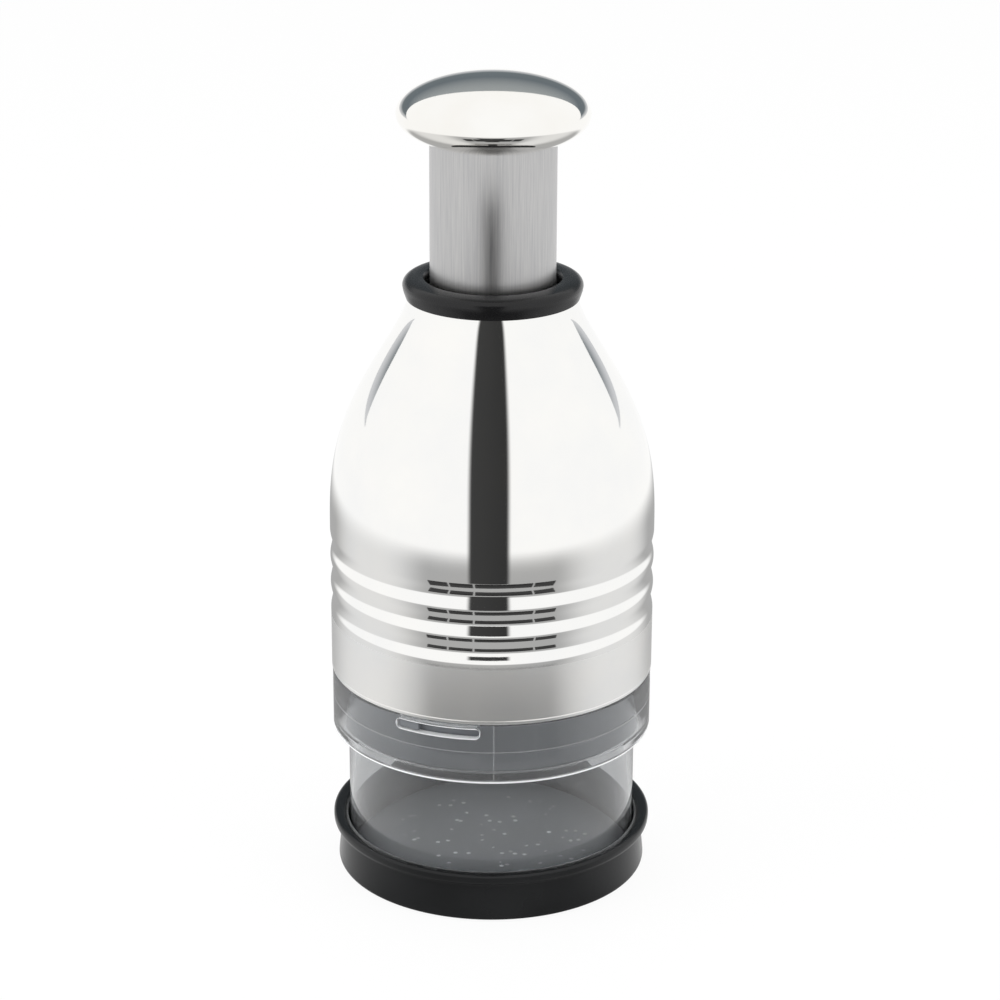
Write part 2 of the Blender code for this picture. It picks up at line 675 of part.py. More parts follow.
def make_drive():
    """The teeth are cut on the drive tube's crown, and on the underside of the index ring."""
    tooth_bottom = ring_bottom - TOOTH_HEIGHT
    crown_bottom = tooth_bottom - CROWN_HEIGHT
    crown_slope = ring_radius - drive_radius
    outline = [
        (ring_radius, ring_bottom + GAP), (ring_radius, crown_bottom),
        (drive_radius, crown_bottom - crown_slope), (drive_radius, ledge + GAP),
        (rotor_bore, ledge + GAP), (rotor_bore, ring_bottom + GAP)]
    tube = turned("drive_tube", outline, PALE_PLASTIC, MEDIUM_SIDES)
    for index in range(KEYS):
        angle = 2 * math.pi * index / KEYS
        root = (drive_radius + rotor_bore) / 2
        size = (drive_radius + key_proud - root, KEY_WIDTH, hub_top - ledge - 3 * GAP)
        centre = ((drive_radius + key_proud + root) / 2, 0, (ledge + hub_top + GAP) / 2)
        fuse(tube, box(f"key_{index}", size, centre, None, angle, CUTTERS))
    cut(tube, tooth_ring("drive_tooth_gaps", tooth_bottom, ring_top, TOOTH_SHIFT))
    low = tooth_bottom + 2 * GAP
    outline = [
        (ring_radius, ring_top), (ring_radius, low - GAP), (rotor_bore, low - GAP),
        (rotor_bore, ring_top)]
    index_ring = turned("index_ring", outline, PALE_PLASTIC, MEDIUM_SIDES)
    play = GAP / rotor_bore
    cut(index_ring, tooth_ring("index_tooth_gaps", low, low - OVERRUN, TOOTH_SHIFT + play))
    for index in range(LUGS):
        angle = 2 * math.pi * index / LUGS
        root = (ring_radius + rotor_bore) / 2
        size = (post_radius - GAP - root, LUG_WIDTH, LUG_HEIGHT)
        centre = ((post_radius - GAP + root) / 2, 0, lug_rest)
        fuse(index_ring, box(f"index_lug_{index}", size, centre, None, angle, CUTTERS))


def make_wave_washer():
    """A thin ring that waves up and down, which holds the ratchet in mesh."""
    middle = ring_top + GAP + WAVE_HEIGHT + WAVE_THICKNESS / 2
    mesh = bpy.data.meshes.new("wave_washer")
    shape = bmesh.new()
    count = SMALL_SIDES
    loops = []
    for radius in (rotor_bore, rod_flange_radius):
        loop = []
        for index in range(count):
            angle = 2 * math.pi * index / count
            height = middle + WAVE_HEIGHT * math.sin(WAVES * angle)
            loop.append(shape.verts.new((*polar(radius, angle), height)))
        for index in range(count):
            shape.edges.new((loop[index], loop[(index + 1) % count]))
        loops.append(loop)
    bmesh.ops.bridge_loops(shape, edges=shape.edges[:])
    bmesh.ops.recalc_face_normals(shape, faces=shape.faces)
    shape.to_mesh(mesh)
    shape.free()
    washer = add_object("wave_washer", mesh, SPRING_STEEL)
    wall = washer.modifiers.new("Thickness", "SOLIDIFY")
    wall.thickness = WAVE_THICKNESS
    wall.offset = 0
    return washer


# Rod up the middle, with the screw and washer under it

def make_rod():
    flange_bottom = ring_top + 2 * GAP + 2 * WAVE_HEIGHT + WAVE_THICKNESS
    flange_top = flange_bottom + ROD_FLANGE_HEIGHT
    bottom = carrier_bottom + WASHER_THICKNESS + GAP
    pilot = end_screw_shank + GAP
    depth = END_SCREW_LENGTH + GAP
    outline = [
        (0, rod_top - depth), (pilot, rod_top - depth), (pilot, rod_top), (rod_radius, rod_top),
        (rod_radius, flange_top), (rod_flange_radius, flange_top), (rod_flange_radius, flange_bottom),
        (rod_radius, flange_bottom), (rod_radius, bottom), (pilot, bottom), (pilot, bottom + depth),
        (0, bottom + depth)]
    turned("plunger_rod", outline, BLACK_PLASTIC, SMALL_SIDES, False)
    ring(
        "rod_washer", WASHER_RADIUS, end_screw_shank + GAP, carrier_bottom,
        carrier_bottom + WASHER_THICKNESS, BRUSHED_STEEL, SMALL_SIDES)
    pan_head_screw(
        "rod_screw", (0, 0), carrier_bottom - GAP, carrier_bottom - GAP - END_SCREW_HEAD_HEIGHT,
        bottom + END_SCREW_LENGTH - GAP, end_screw_head, end_screw_shank)


# Cam post, its screws and the spring seat, which closes the slots' open upper ends

def make_post():
    flange_bottom = spider_top + GAP
    flange_top = flange_bottom + POST_FLANGE_HEIGHT
    flange_radius = post_radius + POST_FLANGE_WIDTH
    outline = [
        (post_radius, post_top), (post_radius, flange_top), (flange_radius, flange_top),
        (flange_radius, flange_bottom), (post_radius, flange_bottom), (post_radius, spider_bottom),
        (post_inside, spider_bottom), (post_inside, post_top)]
    post = turned("cam_post", outline, PALE_PLASTIC, MEDIUM_SIDES)
    low = spider_bottom + POST_END
    high = post_top + OVERRUN
    turn = INDEX_ANGLE * (high - low) / STROKE
    rest = -INDEX_ANGLE * (lug_rest - low) / STROKE
    for index in range(LUGS):
        middle = 2 * math.pi * index / LUGS + rest
        arc = (LUG_WIDTH + 2 * RUN + LUG_HEIGHT * post_radius * INDEX_ANGLE / STROKE) / post_radius
        slot = swept_sector(
            f"cam_slot_{index}", post_inside - OVERRUN, post_radius + OVERRUN, arc, middle,
            low, high, turn, SLOT_STEPS, CUTTERS)
        cut(post, slot)
    circle = post_radius + POST_FLANGE_WIDTH / 2
    for index in range(POST_SCREWS):
        place = polar(circle, 2 * math.pi * (index + 1 / 2) / POST_SCREWS)
        hole = disc(
            f"post_screw_hole_{index}", SCREW_SHANK + GAP, spider_bottom + SCREW_BITE / 2,
            flange_top + OVERRUN, None, PIN_SIDES, CUTTERS)
        hole.location = (*place, 0)
        cut(post, hole)
        pan_head_screw(
            f"post_screw_{index + 1}", place, flange_top + GAP, flange_top + GAP + SCREW_HEAD_HEIGHT,
            spider_bottom + SCREW_BITE / 2 + GAP, SCREW_HEAD, SCREW_SHANK)
    ring(
        "spring_seat", post_radius, rod_radius + RUN, seat_bottom, seat_top, BRUSHED_STEEL,
        MEDIUM_SIDES)


# Liner of the housing

def make_liner():
    band_top = shell_bottom + LINER_BAND_DROP + LINER_BAND_HEIGHT
    band_radius = shell_radius - SHELL_WALL - GAP
    outline = [
        (liner_radius, liner_top), (liner_radius, band_top), (band_radius, band_top),
        (band_radius, band_top - LINER_BAND_HEIGHT), (liner_radius, band_top - LINER_BAND_HEIGHT),
        (liner_radius, liner_bottom), (liner_inside, liner_bottom), (liner_inside, liner_top)]
    liner = turned("housing_liner", outline, GREY_PLASTIC, LARGE_SIDES)
    spider_bore = post_radius + GAP
    spider_ring = post_radius + SPIDER_RING_WIDTH
    for index in range(SPIDER_ARMS):
        angle = 2 * math.pi * (index + 1 / 2) / SPIDER_ARMS
        inner = (spider_bore + spider_ring) / 2
        outer = (liner_inside + liner_radius) / 2
        size = (outer - inner, SPIDER_ARM_WIDTH, SPIDER_THICKNESS)
        centre = ((inner + outer) / 2, 0, (spider_bottom + spider_top) / 2)
        fuse(liner, box(f"spider_arm_{index}", size, centre, None, angle, CUTTERS))
    fuse(liner, ring(
        "spider_ring", spider_ring, spider_bore, spider_bottom, spider_top, None, MEDIUM_SIDES, CUTTERS))
    for index in range(BAYONETS):
        turn = 2 * math.pi * index / BAYONETS
        start = SLOT_START + turn + math.atan(RUN / socket_inside)
        lug = arc_block(
            f"bayonet_lug_{index}", liner_radius - LINER_WALL / 2, socket_radius - LUG_SEAT, start,
            BAYONET_ARC, slot_top - SLOT_HEIGHT + RUN, slot_top - RUN)
        fuse(liner, lug)
    for index in range(POST_SCREWS):
        place = polar(post_radius + POST_FLANGE_WIDTH / 2, 2 * math.pi * (index + 1 / 2) / POST_SCREWS)
        hole = disc(
            f"spider_hole_{index}", SCREW_SHANK + GAP, spider_bottom + SCREW_BITE / 2,
            spider_top + OVERRUN, None, PIN_SIDES, CUTTERS)
        hole.location = (*place, 0)
        cut(liner, hole)


# Steel shell

def groove_points():
    """The rolled grooves, read down the outside of the shell: a wave with round crests."""
    points = []
    for step in range(GROOVES * GROOVE_STEPS + 1):
        share = step / GROOVE_STEPS
        depth = GROOVE_DEPTH * (1 - math.cos(2 * math.pi * share)) / 2
        points.append((shell_radius - depth, dome_bottom - share * GROOVE_PITCH))
    return points


def shoulder_points():
    """The dome and neck, from the top down."""
    points = []
    for step in range(DOME_STEPS):
        share = 1 - (step / DOME_STEPS) ** (3 / 2)
        spread = (1 - share ** DOME_POWER) ** NECK_POWER
        radius = neck_radius + (shell_radius - neck_radius) * spread
        points.append((radius, dome_bottom + DOME_HEIGHT * share))
    return points


def make_shell():
    lip = spigot_radius + GAP
    outline = [(lip, shell_top)] + shoulder_points() + groove_points() + [(shell_radius, shell_bottom)]
    shell = turned("steel_shell", outline, POLISHED_STEEL, LARGE_SIDES, False)
    wall = shell.modifiers.new("Sheet", "SOLIDIFY")
    wall.thickness = SHELL_WALL
    wall.offset = -1
    wall.use_even_offset = True


# Collar, bush and nut

def make_collar():
    crest = spigot_inside - COLLAR_BORE_STEP - GAP
    bore = bush_inside + COLLAR_BORE_STEP
    bead = COLLAR_HEIGHT / 2
    flange_top = collar_crest - COLLAR_BORE_STEP * 2
    outline = [
        (bore + COLLAR_BORE_STEP / 2, collar_crest - COLLAR_BORE_STEP), (crest, collar_crest),
        (crest + COLLAR_RIDGE_WIDTH / 2, collar_crest - COLLAR_BORE_STEP),
        (crest + COLLAR_RIDGE_WIDTH, flange_top)]
    outline += round_points(
        collar_radius - bead, collar_bottom + bead, bead, flange_top - collar_bottom - bead,
        COLLAR_ROLL_START, 0, 3)
    outline += round_points(
        collar_radius - bead, collar_bottom + bead, bead, bead, -math.pi / 6, -math.pi / 2, 2)
    spigot_bottom = collar_bottom - COLLAR_SPIGOT_DEPTH
    outline += [
        (spigot_radius, collar_bottom), (spigot_radius, spigot_bottom), (spigot_inside, spigot_bottom),
        (spigot_inside, bush_top + GAP), (bore, bush_top + GAP)]
    turned("collar", outline, BLACK_RUBBER, MEDIUM_SIDES)
    ring("guide_bush", bush_radius, bush_inside, bush_bottom, bush_top, BLACK_PLASTIC, MEDIUM_SIDES)
    nut_top = shell_top - SHELL_WALL - GAP
    ring(
        "collar_nut", nut_radius, spigot_radius + GAP, nut_top - NUT_HEIGHT, nut_top,
        GREY_PLASTIC, MEDIUM_SIDES)


# Plunger tube, stop ring and knob

def make_tube():
    ring("plunger_tube", TUBE_RADIUS, tube_inside, tube_bottom, tube_top, BRUSHED_STEEL, MEDIUM_SIDES)
    outside = spigot_inside - STOP_MARGIN
    lip_inside = post_radius + RUN
    outline = [
        (outside, stop_top), (outside, stop_bottom - STOP_LIP), (lip_inside, stop_bottom - STOP_LIP),
        (lip_inside, stop_bottom), (TUBE_RADIUS + GAP, stop_bottom), (TUBE_RADIUS + GAP, stop_top)]
    turned("stop_ring", outline, GREY_PLASTIC, MEDIUM_SIDES)


def cap_outline(inset):
    """Half section of the knob's skin, from its top to its lower opening, set in by inset."""
    crown = round_points(
        0, knob_middle, KNOB_RADIUS - inset, KNOB_CROWN - inset, math.pi / 2, 0, KNOB_CROWN_STEPS)
    under = round_points(
        0, knob_middle, KNOB_RADIUS - inset, KNOB_UNDER - inset, 0,
        -math.acos(knob_opening / (KNOB_RADIUS - inset)), KNOB_UNDER_STEPS)
    return crown + under[1:]


def make_knob():
    outline = cap_outline(0) + list(reversed(cap_outline(KNOB_WALL)))
    turned("knob_cap", outline, POLISHED_STEEL, MEDIUM_SIDES, False)
    flange_top = hub_flange_bottom + HUB_FLANGE
    drop = (knob_middle - hub_flange_bottom) / (KNOB_UNDER - KNOB_WALL)
    seat_radius = (KNOB_RADIUS - KNOB_WALL) * math.sqrt(1 - drop ** 2) - GAP
    plug_radius = tube_inside - GAP
    rod_socket = rod_radius + GAP
    screw_hole = end_screw_shank + GAP
    outline = [
        (seat_radius, flange_top), (seat_radius, hub_flange_bottom), (plug_radius, hub_flange_bottom),
        (plug_radius, plug_bottom), (rod_socket, plug_bottom), (rod_socket, rod_top + GAP),
        (screw_hole, rod_top + GAP), (screw_hole, flange_top)]
    turned("knob_hub", outline, GREY_PLASTIC, MEDIUM_SIDES)
    head_bottom = flange_top + GAP
    head_top = head_bottom + END_SCREW_HEAD_HEIGHT
    end = rod_top - END_SCREW_LENGTH + 2 * GAP
    outline = [
        (0, head_top), (end_screw_head, head_top), (end_screw_head, head_bottom),
        (end_screw_shank, head_bottom), (end_screw_shank, end), (0, end)]
    turned("knob_stud", outline, BRUSHED_STEEL, SMALL_SIDES, False)


# Return spring

def make_spring():
    """A compression spring: dead turns at both ends and an even pitch between them."""
    bottom = seat_top + GAP + SPRING_WIRE / 2
    top = plug_bottom - GAP - SPRING_WIRE / 2
    turns = SPRING_TURNS + 2 * SPRING_DEAD_TURNS
    dead = SPRING_DEAD_TURNS * (SPRING_WIRE + SPRING_DEAD_GAP)
    points = []
    for step in range(turns * SPRING_TURN_POINTS + 1):
        turn = step / SPRING_TURN_POINTS
        if turn < SPRING_DEAD_TURNS:
            height = bottom + dead * turn / SPRING_DEAD_TURNS
        elif turn > turns - SPRING_DEAD_TURNS:
            height = top - dead * (turns - turn) / SPRING_DEAD_TURNS
        else:
            share = (turn - SPRING_DEAD_TURNS) / SPRING_TURNS
            height = bottom + dead + (top - bottom - 2 * dead) * share
        points.append((*polar(SPRING_RADIUS, 2 * math.pi * turn), height))
    curve = bpy.data.curves.new("return_spring", "CURVE")
    curve.dimensions = "3D"
    curve.bevel_depth = SPRING_WIRE / 2
    curve.bevel_resolution = 1
    curve.use_fill_caps = True
    line = curve.splines.new("POLY")
    line.points.add(len(points) - 1)
    for point, place in zip(line.points, points):
        point.co = (*place, 1.0)
    spring = bpy.data.objects.new("return_spring", curve)
    PARTS.objects.link(spring)
    curve.materials.append(SPRING_STEEL)
    pitch = (top - bottom - 2 * dead) / SPRING_TURNS
    print(f"return spring: least gap between turns {min(pitch, dead) - SPRING_WIRE:.5f} m")


# Bodies: the pieces that move together hang from one empty each

BODIES = {
    "base": ("base_dish", "foot_ring", "chopping_disc"),
    "cup": ("clear_cup",),
    "housing": (
        "steel_shell", "housing_liner", "cam_post", "post_screw_1", "post_screw_2", "post_screw_3",
        "spring_seat", "collar", "guide_bush", "collar_nut", "return_spring"),
    "plunger": (
        "knob_cap", "knob_hub", "knob_stud", "plunger_tube", "stop_ring", "plunger_rod",
        "rod_washer", "rod_screw"),
    "rotor": (
        "zigzag_blade", "blade_clamp", "blade_carrier", "clamp_screw_1", "clamp_screw_2",
        "clamp_screw_3", "drive_tube", "index_ring", "wave_washer"),
    "wiper": ("wiper_plate",),
}


def group_bodies():
    for body, names in BODIES.items():
        axis = bpy.data.objects.new(f"axis_{body}", None)
        PARTS.objects.link(axis)
        for name in names:
            bpy.data.objects[name].parent = axis


make_base()
make_cup()
make_wiper()
make_blade()
make_carrier()
make_drive()
make_wave_washer()
make_rod()
make_post()
make_liner()
make_shell()
make_collar()
make_tube()
make_knob()
make_spring()
group_bodies()
print(f"height {knob_middle + KNOB_CROWN:.4f} m, width {2 * (base_radius + LIP_PROUD):.4f} m")
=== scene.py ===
# %% [markdown]
# A push-down onion chopper in polished steel, clear plastic and black plastic.
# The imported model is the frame: it gives each piece its place and its size.
# Each piece that shows is turned again here from a finer profile, and rides on its CAD body.

# %% Load the frame
import json
import math

import bmesh
import bpy
from mathutils import Matrix, Vector


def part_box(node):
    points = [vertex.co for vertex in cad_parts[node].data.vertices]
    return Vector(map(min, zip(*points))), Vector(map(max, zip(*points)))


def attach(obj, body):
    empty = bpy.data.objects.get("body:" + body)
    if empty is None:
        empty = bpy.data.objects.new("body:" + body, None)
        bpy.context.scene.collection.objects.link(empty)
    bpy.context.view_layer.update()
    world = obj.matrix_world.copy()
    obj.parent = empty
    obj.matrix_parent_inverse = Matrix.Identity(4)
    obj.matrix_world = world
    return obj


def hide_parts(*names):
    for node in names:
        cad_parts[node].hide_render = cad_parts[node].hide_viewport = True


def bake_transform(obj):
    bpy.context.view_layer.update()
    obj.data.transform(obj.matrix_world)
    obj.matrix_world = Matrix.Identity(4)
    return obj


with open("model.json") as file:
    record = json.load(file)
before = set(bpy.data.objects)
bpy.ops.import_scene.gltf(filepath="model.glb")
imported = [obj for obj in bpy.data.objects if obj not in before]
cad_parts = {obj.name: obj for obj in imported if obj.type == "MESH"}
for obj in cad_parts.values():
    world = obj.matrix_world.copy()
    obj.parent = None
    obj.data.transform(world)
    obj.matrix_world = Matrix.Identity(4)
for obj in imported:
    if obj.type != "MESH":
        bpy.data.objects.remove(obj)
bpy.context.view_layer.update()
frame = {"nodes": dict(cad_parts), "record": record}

# %% [markdown]
# Every length is written in millimetres and turned to metres by one factor.
# The camera stands where the photographer stood: about 0.8 m away, looking down 20 degrees.
# A long lens keeps the cylinders nearly straight, as they are in the photograph.

# %% Camera
MM = 0.001
CAMERA_DISTANCE = 809 * MM
CAMERA_PITCH = math.radians(20.17)
CAMERA_ROLL = math.radians(0.25)
TARGET_HEIGHT = 105.2 * MM
TARGET_ASIDE = 2.1 * MM
FOCAL_SHARE = 3.0   # focal length in widths of the frame


def make_camera():
    data = bpy.data.cameras.new("camera")
    data.lens = FOCAL_SHARE * data.sensor_width
    data.clip_start = 10 * MM
    camera = bpy.data.objects.new("camera", data)
    bpy.context.scene.collection.objects.link(camera)
    back = Vector((0, -math.cos(CAMERA_PITCH), math.sin(CAMERA_PITCH))) * CAMERA_DISTANCE
    place = Matrix.Translation(Vector((TARGET_ASIDE, 0, TARGET_HEIGHT)) + back)
    tilt = Matrix.Rotation(math.pi / 2 - CAMERA_PITCH, 4, "X")
    camera.matrix_world = place @ tilt @ Matrix.Rotation(CAMERA_ROLL, 4, "Z")
    bpy.context.scene.camera = camera
    return camera


print("camera at", [round(value, 3) for value in make_camera().matrix_world.translation])

# %% [markdown]
# Colours are picked as sRGB hex values, as a colour picker shows them.
# Shaders work in linear light, so one function turns the hex values to linear.
# A second function adds a node with its settings and links in one line.

# %% Colour and node helpers
def linear(hex_colour):
    """An sRGB hex colour as linear RGBA."""
    channels = []
    for place in (1, 3, 5):
        value = int(hex_colour[place:place + 2], 16) / 255
        channels.append(value / 12.92 if value <= 0.04045 else ((value + 0.055) / 1.055) ** 2.4)
    return (*channels, 1.0)


def new_material(name):
    """A material with its Principled shader, ready to be wired."""
    material = bpy.data.materials.new(name)
    material.use_nodes = True
    return material, material.node_tree, material.node_tree.nodes["Principled BSDF"]


def add_node(tree, kind, links=None, **settings):
    """One node. A setting that names an input sets its value, any other is the node's own."""
    node = tree.nodes.new(kind)
    for name, value in settings.items():
        if hasattr(node, name):
            setattr(node, name, value)
    for name, value in settings.items():
        if not hasattr(node, name):
            node.inputs[name.replace("_", " ")].default_value = value
    for name, source in (links or {}).items():
        tree.links.new(source, node.inputs[name])
    return node


def object_place(tree, scale=(1, 1, 1)):
    """Object coordinates in metres, stretched by a scale on each axis."""
    place = add_node(tree, "ShaderNodeTexCoord")
    return add_node(
        tree, "ShaderNodeMapping", {"Vector": place.outputs["Object"]}, Scale=scale).outputs["Vector"]


def ramp(tree, factor, stops):
    """A colour ramp with its stops given as (position, colour)."""
    node = add_node(tree, "ShaderNodeValToRGB", {"Fac": factor})
    points = node.color_ramp.elements
    while len(points) < len(stops):
        points.new(0.5)
    for point, (position, colour) in zip(points, stops):
        point.position = position
        point.color = colour
    return node.outputs["Color"]


def grey(value):
    return (value, value, value, 1.0)


def bump(tree, height, strength, distance):
    return add_node(
        tree, "ShaderNodeBump", {"Height": height}, Strength=strength, Distance=distance).outputs["Normal"]


# %% [markdown]
# The shell and the knob are stainless steel, pressed and then buffed.
# Buffing leaves rings finer than a tenth of a millimetre, drawn here a little coarser.
# The shell's lowest band is left satin: below the ribs its roughness is higher.

# %% Polished steel
SATIN_TOP = 74.6 * MM      # the shell is satin below this height and polished above it
SATIN_BLEND = 0.6 * MM
POLISH_GRAIN = 0.35 * MM


def stainless(name, colour, polished, satin=None):
    material, tree, shader = new_material(name)
    shader.inputs["Metallic"].default_value = 1.0
    rings = add_node(
        tree, "ShaderNodeTexNoise", {"Vector": object_place(tree, (0.05, 0.05, 1.0))},
        Scale=1 / POLISH_GRAIN, Detail=3.0, Roughness=0.6)
    clouds = add_node(tree, "ShaderNodeTexNoise", {"Vector": object_place(tree)}, Scale=60.0, Detail=4.0)
    rough = add_node(
        tree, "ShaderNodeMapRange", {"Value": clouds.outputs["Fac"]},
        To_Min=polished * 0.8, To_Max=polished * 1.3).outputs["Result"]
    if satin:
        place = add_node(tree, "ShaderNodeTexCoord")
        height = add_node(tree, "ShaderNodeSeparateXYZ", {"Vector": place.outputs["Object"]})
        share = add_node(
            tree, "ShaderNodeMapRange", {"Value": height.outputs["Z"]},
            From_Min=SATIN_TOP - SATIN_BLEND, From_Max=SATIN_TOP + SATIN_BLEND,
            To_Min=satin, To_Max=0.0)
        rough = add_node(
            tree, "ShaderNodeMath", {0: rough, 1: share.outputs["Result"]}, operation="MAXIMUM").outputs[0]
    tree.links.new(rough, shader.inputs["Roughness"])
    tint = ramp(tree, clouds.outputs["Fac"], [(0.3, linear(colour)), (0.7, linear("#fbfaf7"))])
    tree.links.new(tint, shader.inputs["Base Color"])
    tree.links.new(bump(tree, rings.outputs["Fac"], 0.04, 0.02 * MM), shader.inputs["Normal"])
    return material


SHELL_STEEL = stainless("polished_stainless_shell", "#f6f6f5", 0.05, satin=0.32)
KNOB_STEEL = stainless("polished_stainless_knob", "#f7f5f0", 0.05)
print("polished steel made")

# %% [markdown]
# The plunger tube and the inner steel parts are satin: drawn tube, brushed along its length.
# Streaks that run up the tube come from noise squeezed along Z.
# The streaks vary both the roughness and a very low bump.

# %% Brushed steel
BRUSH_WIDTH = 0.25 * MM


def brushed_steel(name, colour, roughness, along=(1.0, 1.0, 0.015)):
    material, tree, shader = new_material(name)
    shader.inputs["Metallic"].default_value = 1.0
    streaks = add_node(
        tree, "ShaderNodeTexNoise", {"Vector": object_place(tree, along)},
        Scale=1 / BRUSH_WIDTH, Detail=4.0, Roughness=0.65)
    rough = add_node(
        tree, "ShaderNodeMapRange", {"Value": streaks.outputs["Fac"]},
        To_Min=roughness - 0.07, To_Max=roughness + 0.09)
    tree.links.new(rough.outputs["Result"], shader.inputs["Roughness"])
    tint = ramp(tree, streaks.outputs["Fac"], [(0.25, linear(colour)), (0.8, linear("#d2d1cf"))])
    tree.links.new(tint, shader.inputs["Base Color"])
    tree.links.new(bump(tree, streaks.outputs["Fac"], 0.1, 0.02 * MM), shader.inputs["Normal"])
    return material


TUBE_STEEL = brushed_steel("brushed_stainless_tube", "#aeaeb0", 0.36)
PLATE_STEEL = brushed_steel("brushed_stainless_fittings", "#a9a9a8", 0.3, (0.1, 0.1, 1.0))
BLADE_STEEL = brushed_steel("ground_stainless_blade", "#b5b6b8", 0.2, (0.1, 0.1, 1.0))
SPRING_STEEL = brushed_steel("drawn_spring_steel", "#8e8f92", 0.3, (1.0, 1.0, 1.0))
print("brushed steel made")

# %% [markdown]
# Mouldings differ by gloss. Polished moulds give the base and the collar a shine.
# A sparked mould gives the inner parts a fine grain, as noise in a low bump.
# Each has a slight drift of colour, so that no surface is one flat tone.

# %% Moulded plastic
MOULD_GRAIN = 0.4 * MM


def moulded(name, dark, light, roughness, grain, shine=0.5):
    material, tree, shader = new_material(name)
    shader.inputs["IOR"].default_value = 1.5
    shader.inputs["Specular IOR Level"].default_value = shine
    drift = add_node(tree, "ShaderNodeTexNoise", {"Vector": object_place(tree)}, Scale=45.0, Detail=3.0)
    fine = add_node(
        tree, "ShaderNodeTexNoise", {"Vector": object_place(tree)}, Scale=1 / MOULD_GRAIN, Detail=2.0)
    tint = ramp(tree, drift.outputs["Fac"], [(0.3, linear(dark)), (0.7, linear(light))])
    rough = add_node(
        tree, "ShaderNodeMapRange", {"Value": fine.outputs["Fac"]},
        To_Min=roughness - 0.05, To_Max=roughness + 0.08)
    tree.links.new(tint, shader.inputs["Base Color"])
    tree.links.new(rough.outputs["Result"], shader.inputs["Roughness"])
    tree.links.new(bump(tree, fine.outputs["Fac"], grain, 0.05 * MM), shader.inputs["Normal"])
    return material


BASE_BLACK = moulded("glossy_black_abs", "#101112", "#191a1b", 0.2, 0.03, 0.3)
COLLAR_BLACK = moulded("smooth_black_rubber", "#101011", "#161617", 0.24, 0.04, 0.35)
FOOT_BLACK = moulded("matte_black_rubber", "#1b1b1b", "#242424", 0.6, 0.15)
LINER_GREY = moulded("charcoal_nylon", "#63666a", "#6e7175", 0.42, 0.1)
INNER_PALE = moulded("natural_acetal", "#c9c8c2", "#d4d3cd", 0.4, 0.08)
print("mouldings made")

# %% [markdown]
# The board is charcoal plastic with pale specks scattered on it.
# The specks are the centres of a Voronoi pattern, kept only where a second noise is high.
# They gather near the middle.

# %% Board plastic
# The spacing, size and spread of the pale specks on the board.
SPECK_SPACING = 4.4 * MM
SPECK_RADIUS_SHARE = 0.17
SPECK_FIELD = 30 * MM


def board_plastic():
    material, tree, shader = new_material("speckled_charcoal_board")
    shader.inputs["IOR"].default_value = 1.5
    place = add_node(tree, "ShaderNodeTexCoord").outputs["Object"]
    cells = add_node(
        tree, "ShaderNodeTexVoronoi", {"Vector": place}, voronoi_dimensions="2D",
        Scale=1 / SPECK_SPACING, Randomness=1.0)
    patches = add_node(tree, "ShaderNodeTexNoise", {"Vector": place}, Scale=130.0, Detail=2.0)
    spread = add_node(tree, "ShaderNodeVectorMath", {0: place}, operation="LENGTH")
    inside = add_node(
        tree, "ShaderNodeMapRange", {"Value": spread.outputs["Value"]},
        From_Min=SPECK_FIELD * 0.6, From_Max=SPECK_FIELD, To_Min=1.0, To_Max=0.0)
    near = add_node(
        tree, "ShaderNodeMapRange", {"Value": cells.outputs["Distance"]},
        From_Min=SPECK_RADIUS_SHARE * 0.6, From_Max=SPECK_RADIUS_SHARE, To_Min=1.0, To_Max=0.0)
    kept = add_node(
        tree, "ShaderNodeMapRange", {"Value": patches.outputs["Fac"]}, From_Min=0.5, From_Max=0.54)
    share = add_node(
        tree, "ShaderNodeMath", {0: near.outputs["Result"], 1: kept.outputs["Result"]},
        operation="MULTIPLY")
    share = add_node(
        tree, "ShaderNodeMath", {0: share.outputs[0], 1: inside.outputs["Result"]}, operation="MULTIPLY")
    bright = add_node(
        tree, "ShaderNodeMapRange", {"Value": cells.outputs["Color"]}, To_Min=0.25, To_Max=1.0)
    share = add_node(
        tree, "ShaderNodeMath", {0: share.outputs[0], 1: bright.outputs["Result"]}, operation="MULTIPLY")
    drift = add_node(tree, "ShaderNodeTexNoise", {"Vector": place}, Scale=55.0, Detail=3.0)
    ground = ramp(tree, drift.outputs["Fac"], [(0.3, linear("#5c6064")), (0.7, linear("#6b6f73"))])
    tint = add_node(
        tree, "ShaderNodeMix", {0: share.outputs[0], 6: ground}, data_type="RGBA")
    tint.inputs[7].default_value = linear("#eef1f3")
    tree.links.new(tint.outputs[2], shader.inputs["Base Color"])
    rough = add_node(
        tree, "ShaderNodeMapRange", {"Value": drift.outputs["Fac"]}, To_Min=0.35, To_Max=0.5)
    tree.links.new(rough.outputs["Result"], shader.inputs["Roughness"])
    return material


BOARD = board_plastic()
print("board plastic made")

# %% [markdown]
# The cup is clear styrene. It is moulded in a polished mould, so it is smooth and bends light a lot.
# Clear plastic looks white where its surface is broken, as along a mould seam, and one pale line runs round
# the inside.
# Round the slots and under the shoulder, painted highlights stand for edges that catch the light.
# At all these the shader mixes in some frost: rough, white and only half clear.

# %% Clear plastic
SCRATCH_WIDTH = 0.5 * MM
SOCKET_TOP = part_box("clear_cup")[1].z
SOCKET_RADIUS = 43.6 * MM
SOCKET_WALL = 2.0 * MM
SHOULDER_LOW = 41.4 * MM
SHOULDER_HIGH = 44.1 * MM
BAYONETS = 3
SLOT_HIGH = 57.0 * MM
SLOT_HEIGHT = 2.7 * MM
SLOT_START = -125.0
SLOT_ARC = 31.0
# The width of the seam's frost and of the painted highlights round the slots and under the shoulder.
PALE_LINE_WIDTH = 0.22 * MM
SEAM_ASIDE = 0.75 * MM
LINE_HEIGHT = 49.9 * MM
HAZE = 0.04             # the share of light that fine wear on the surface scatters


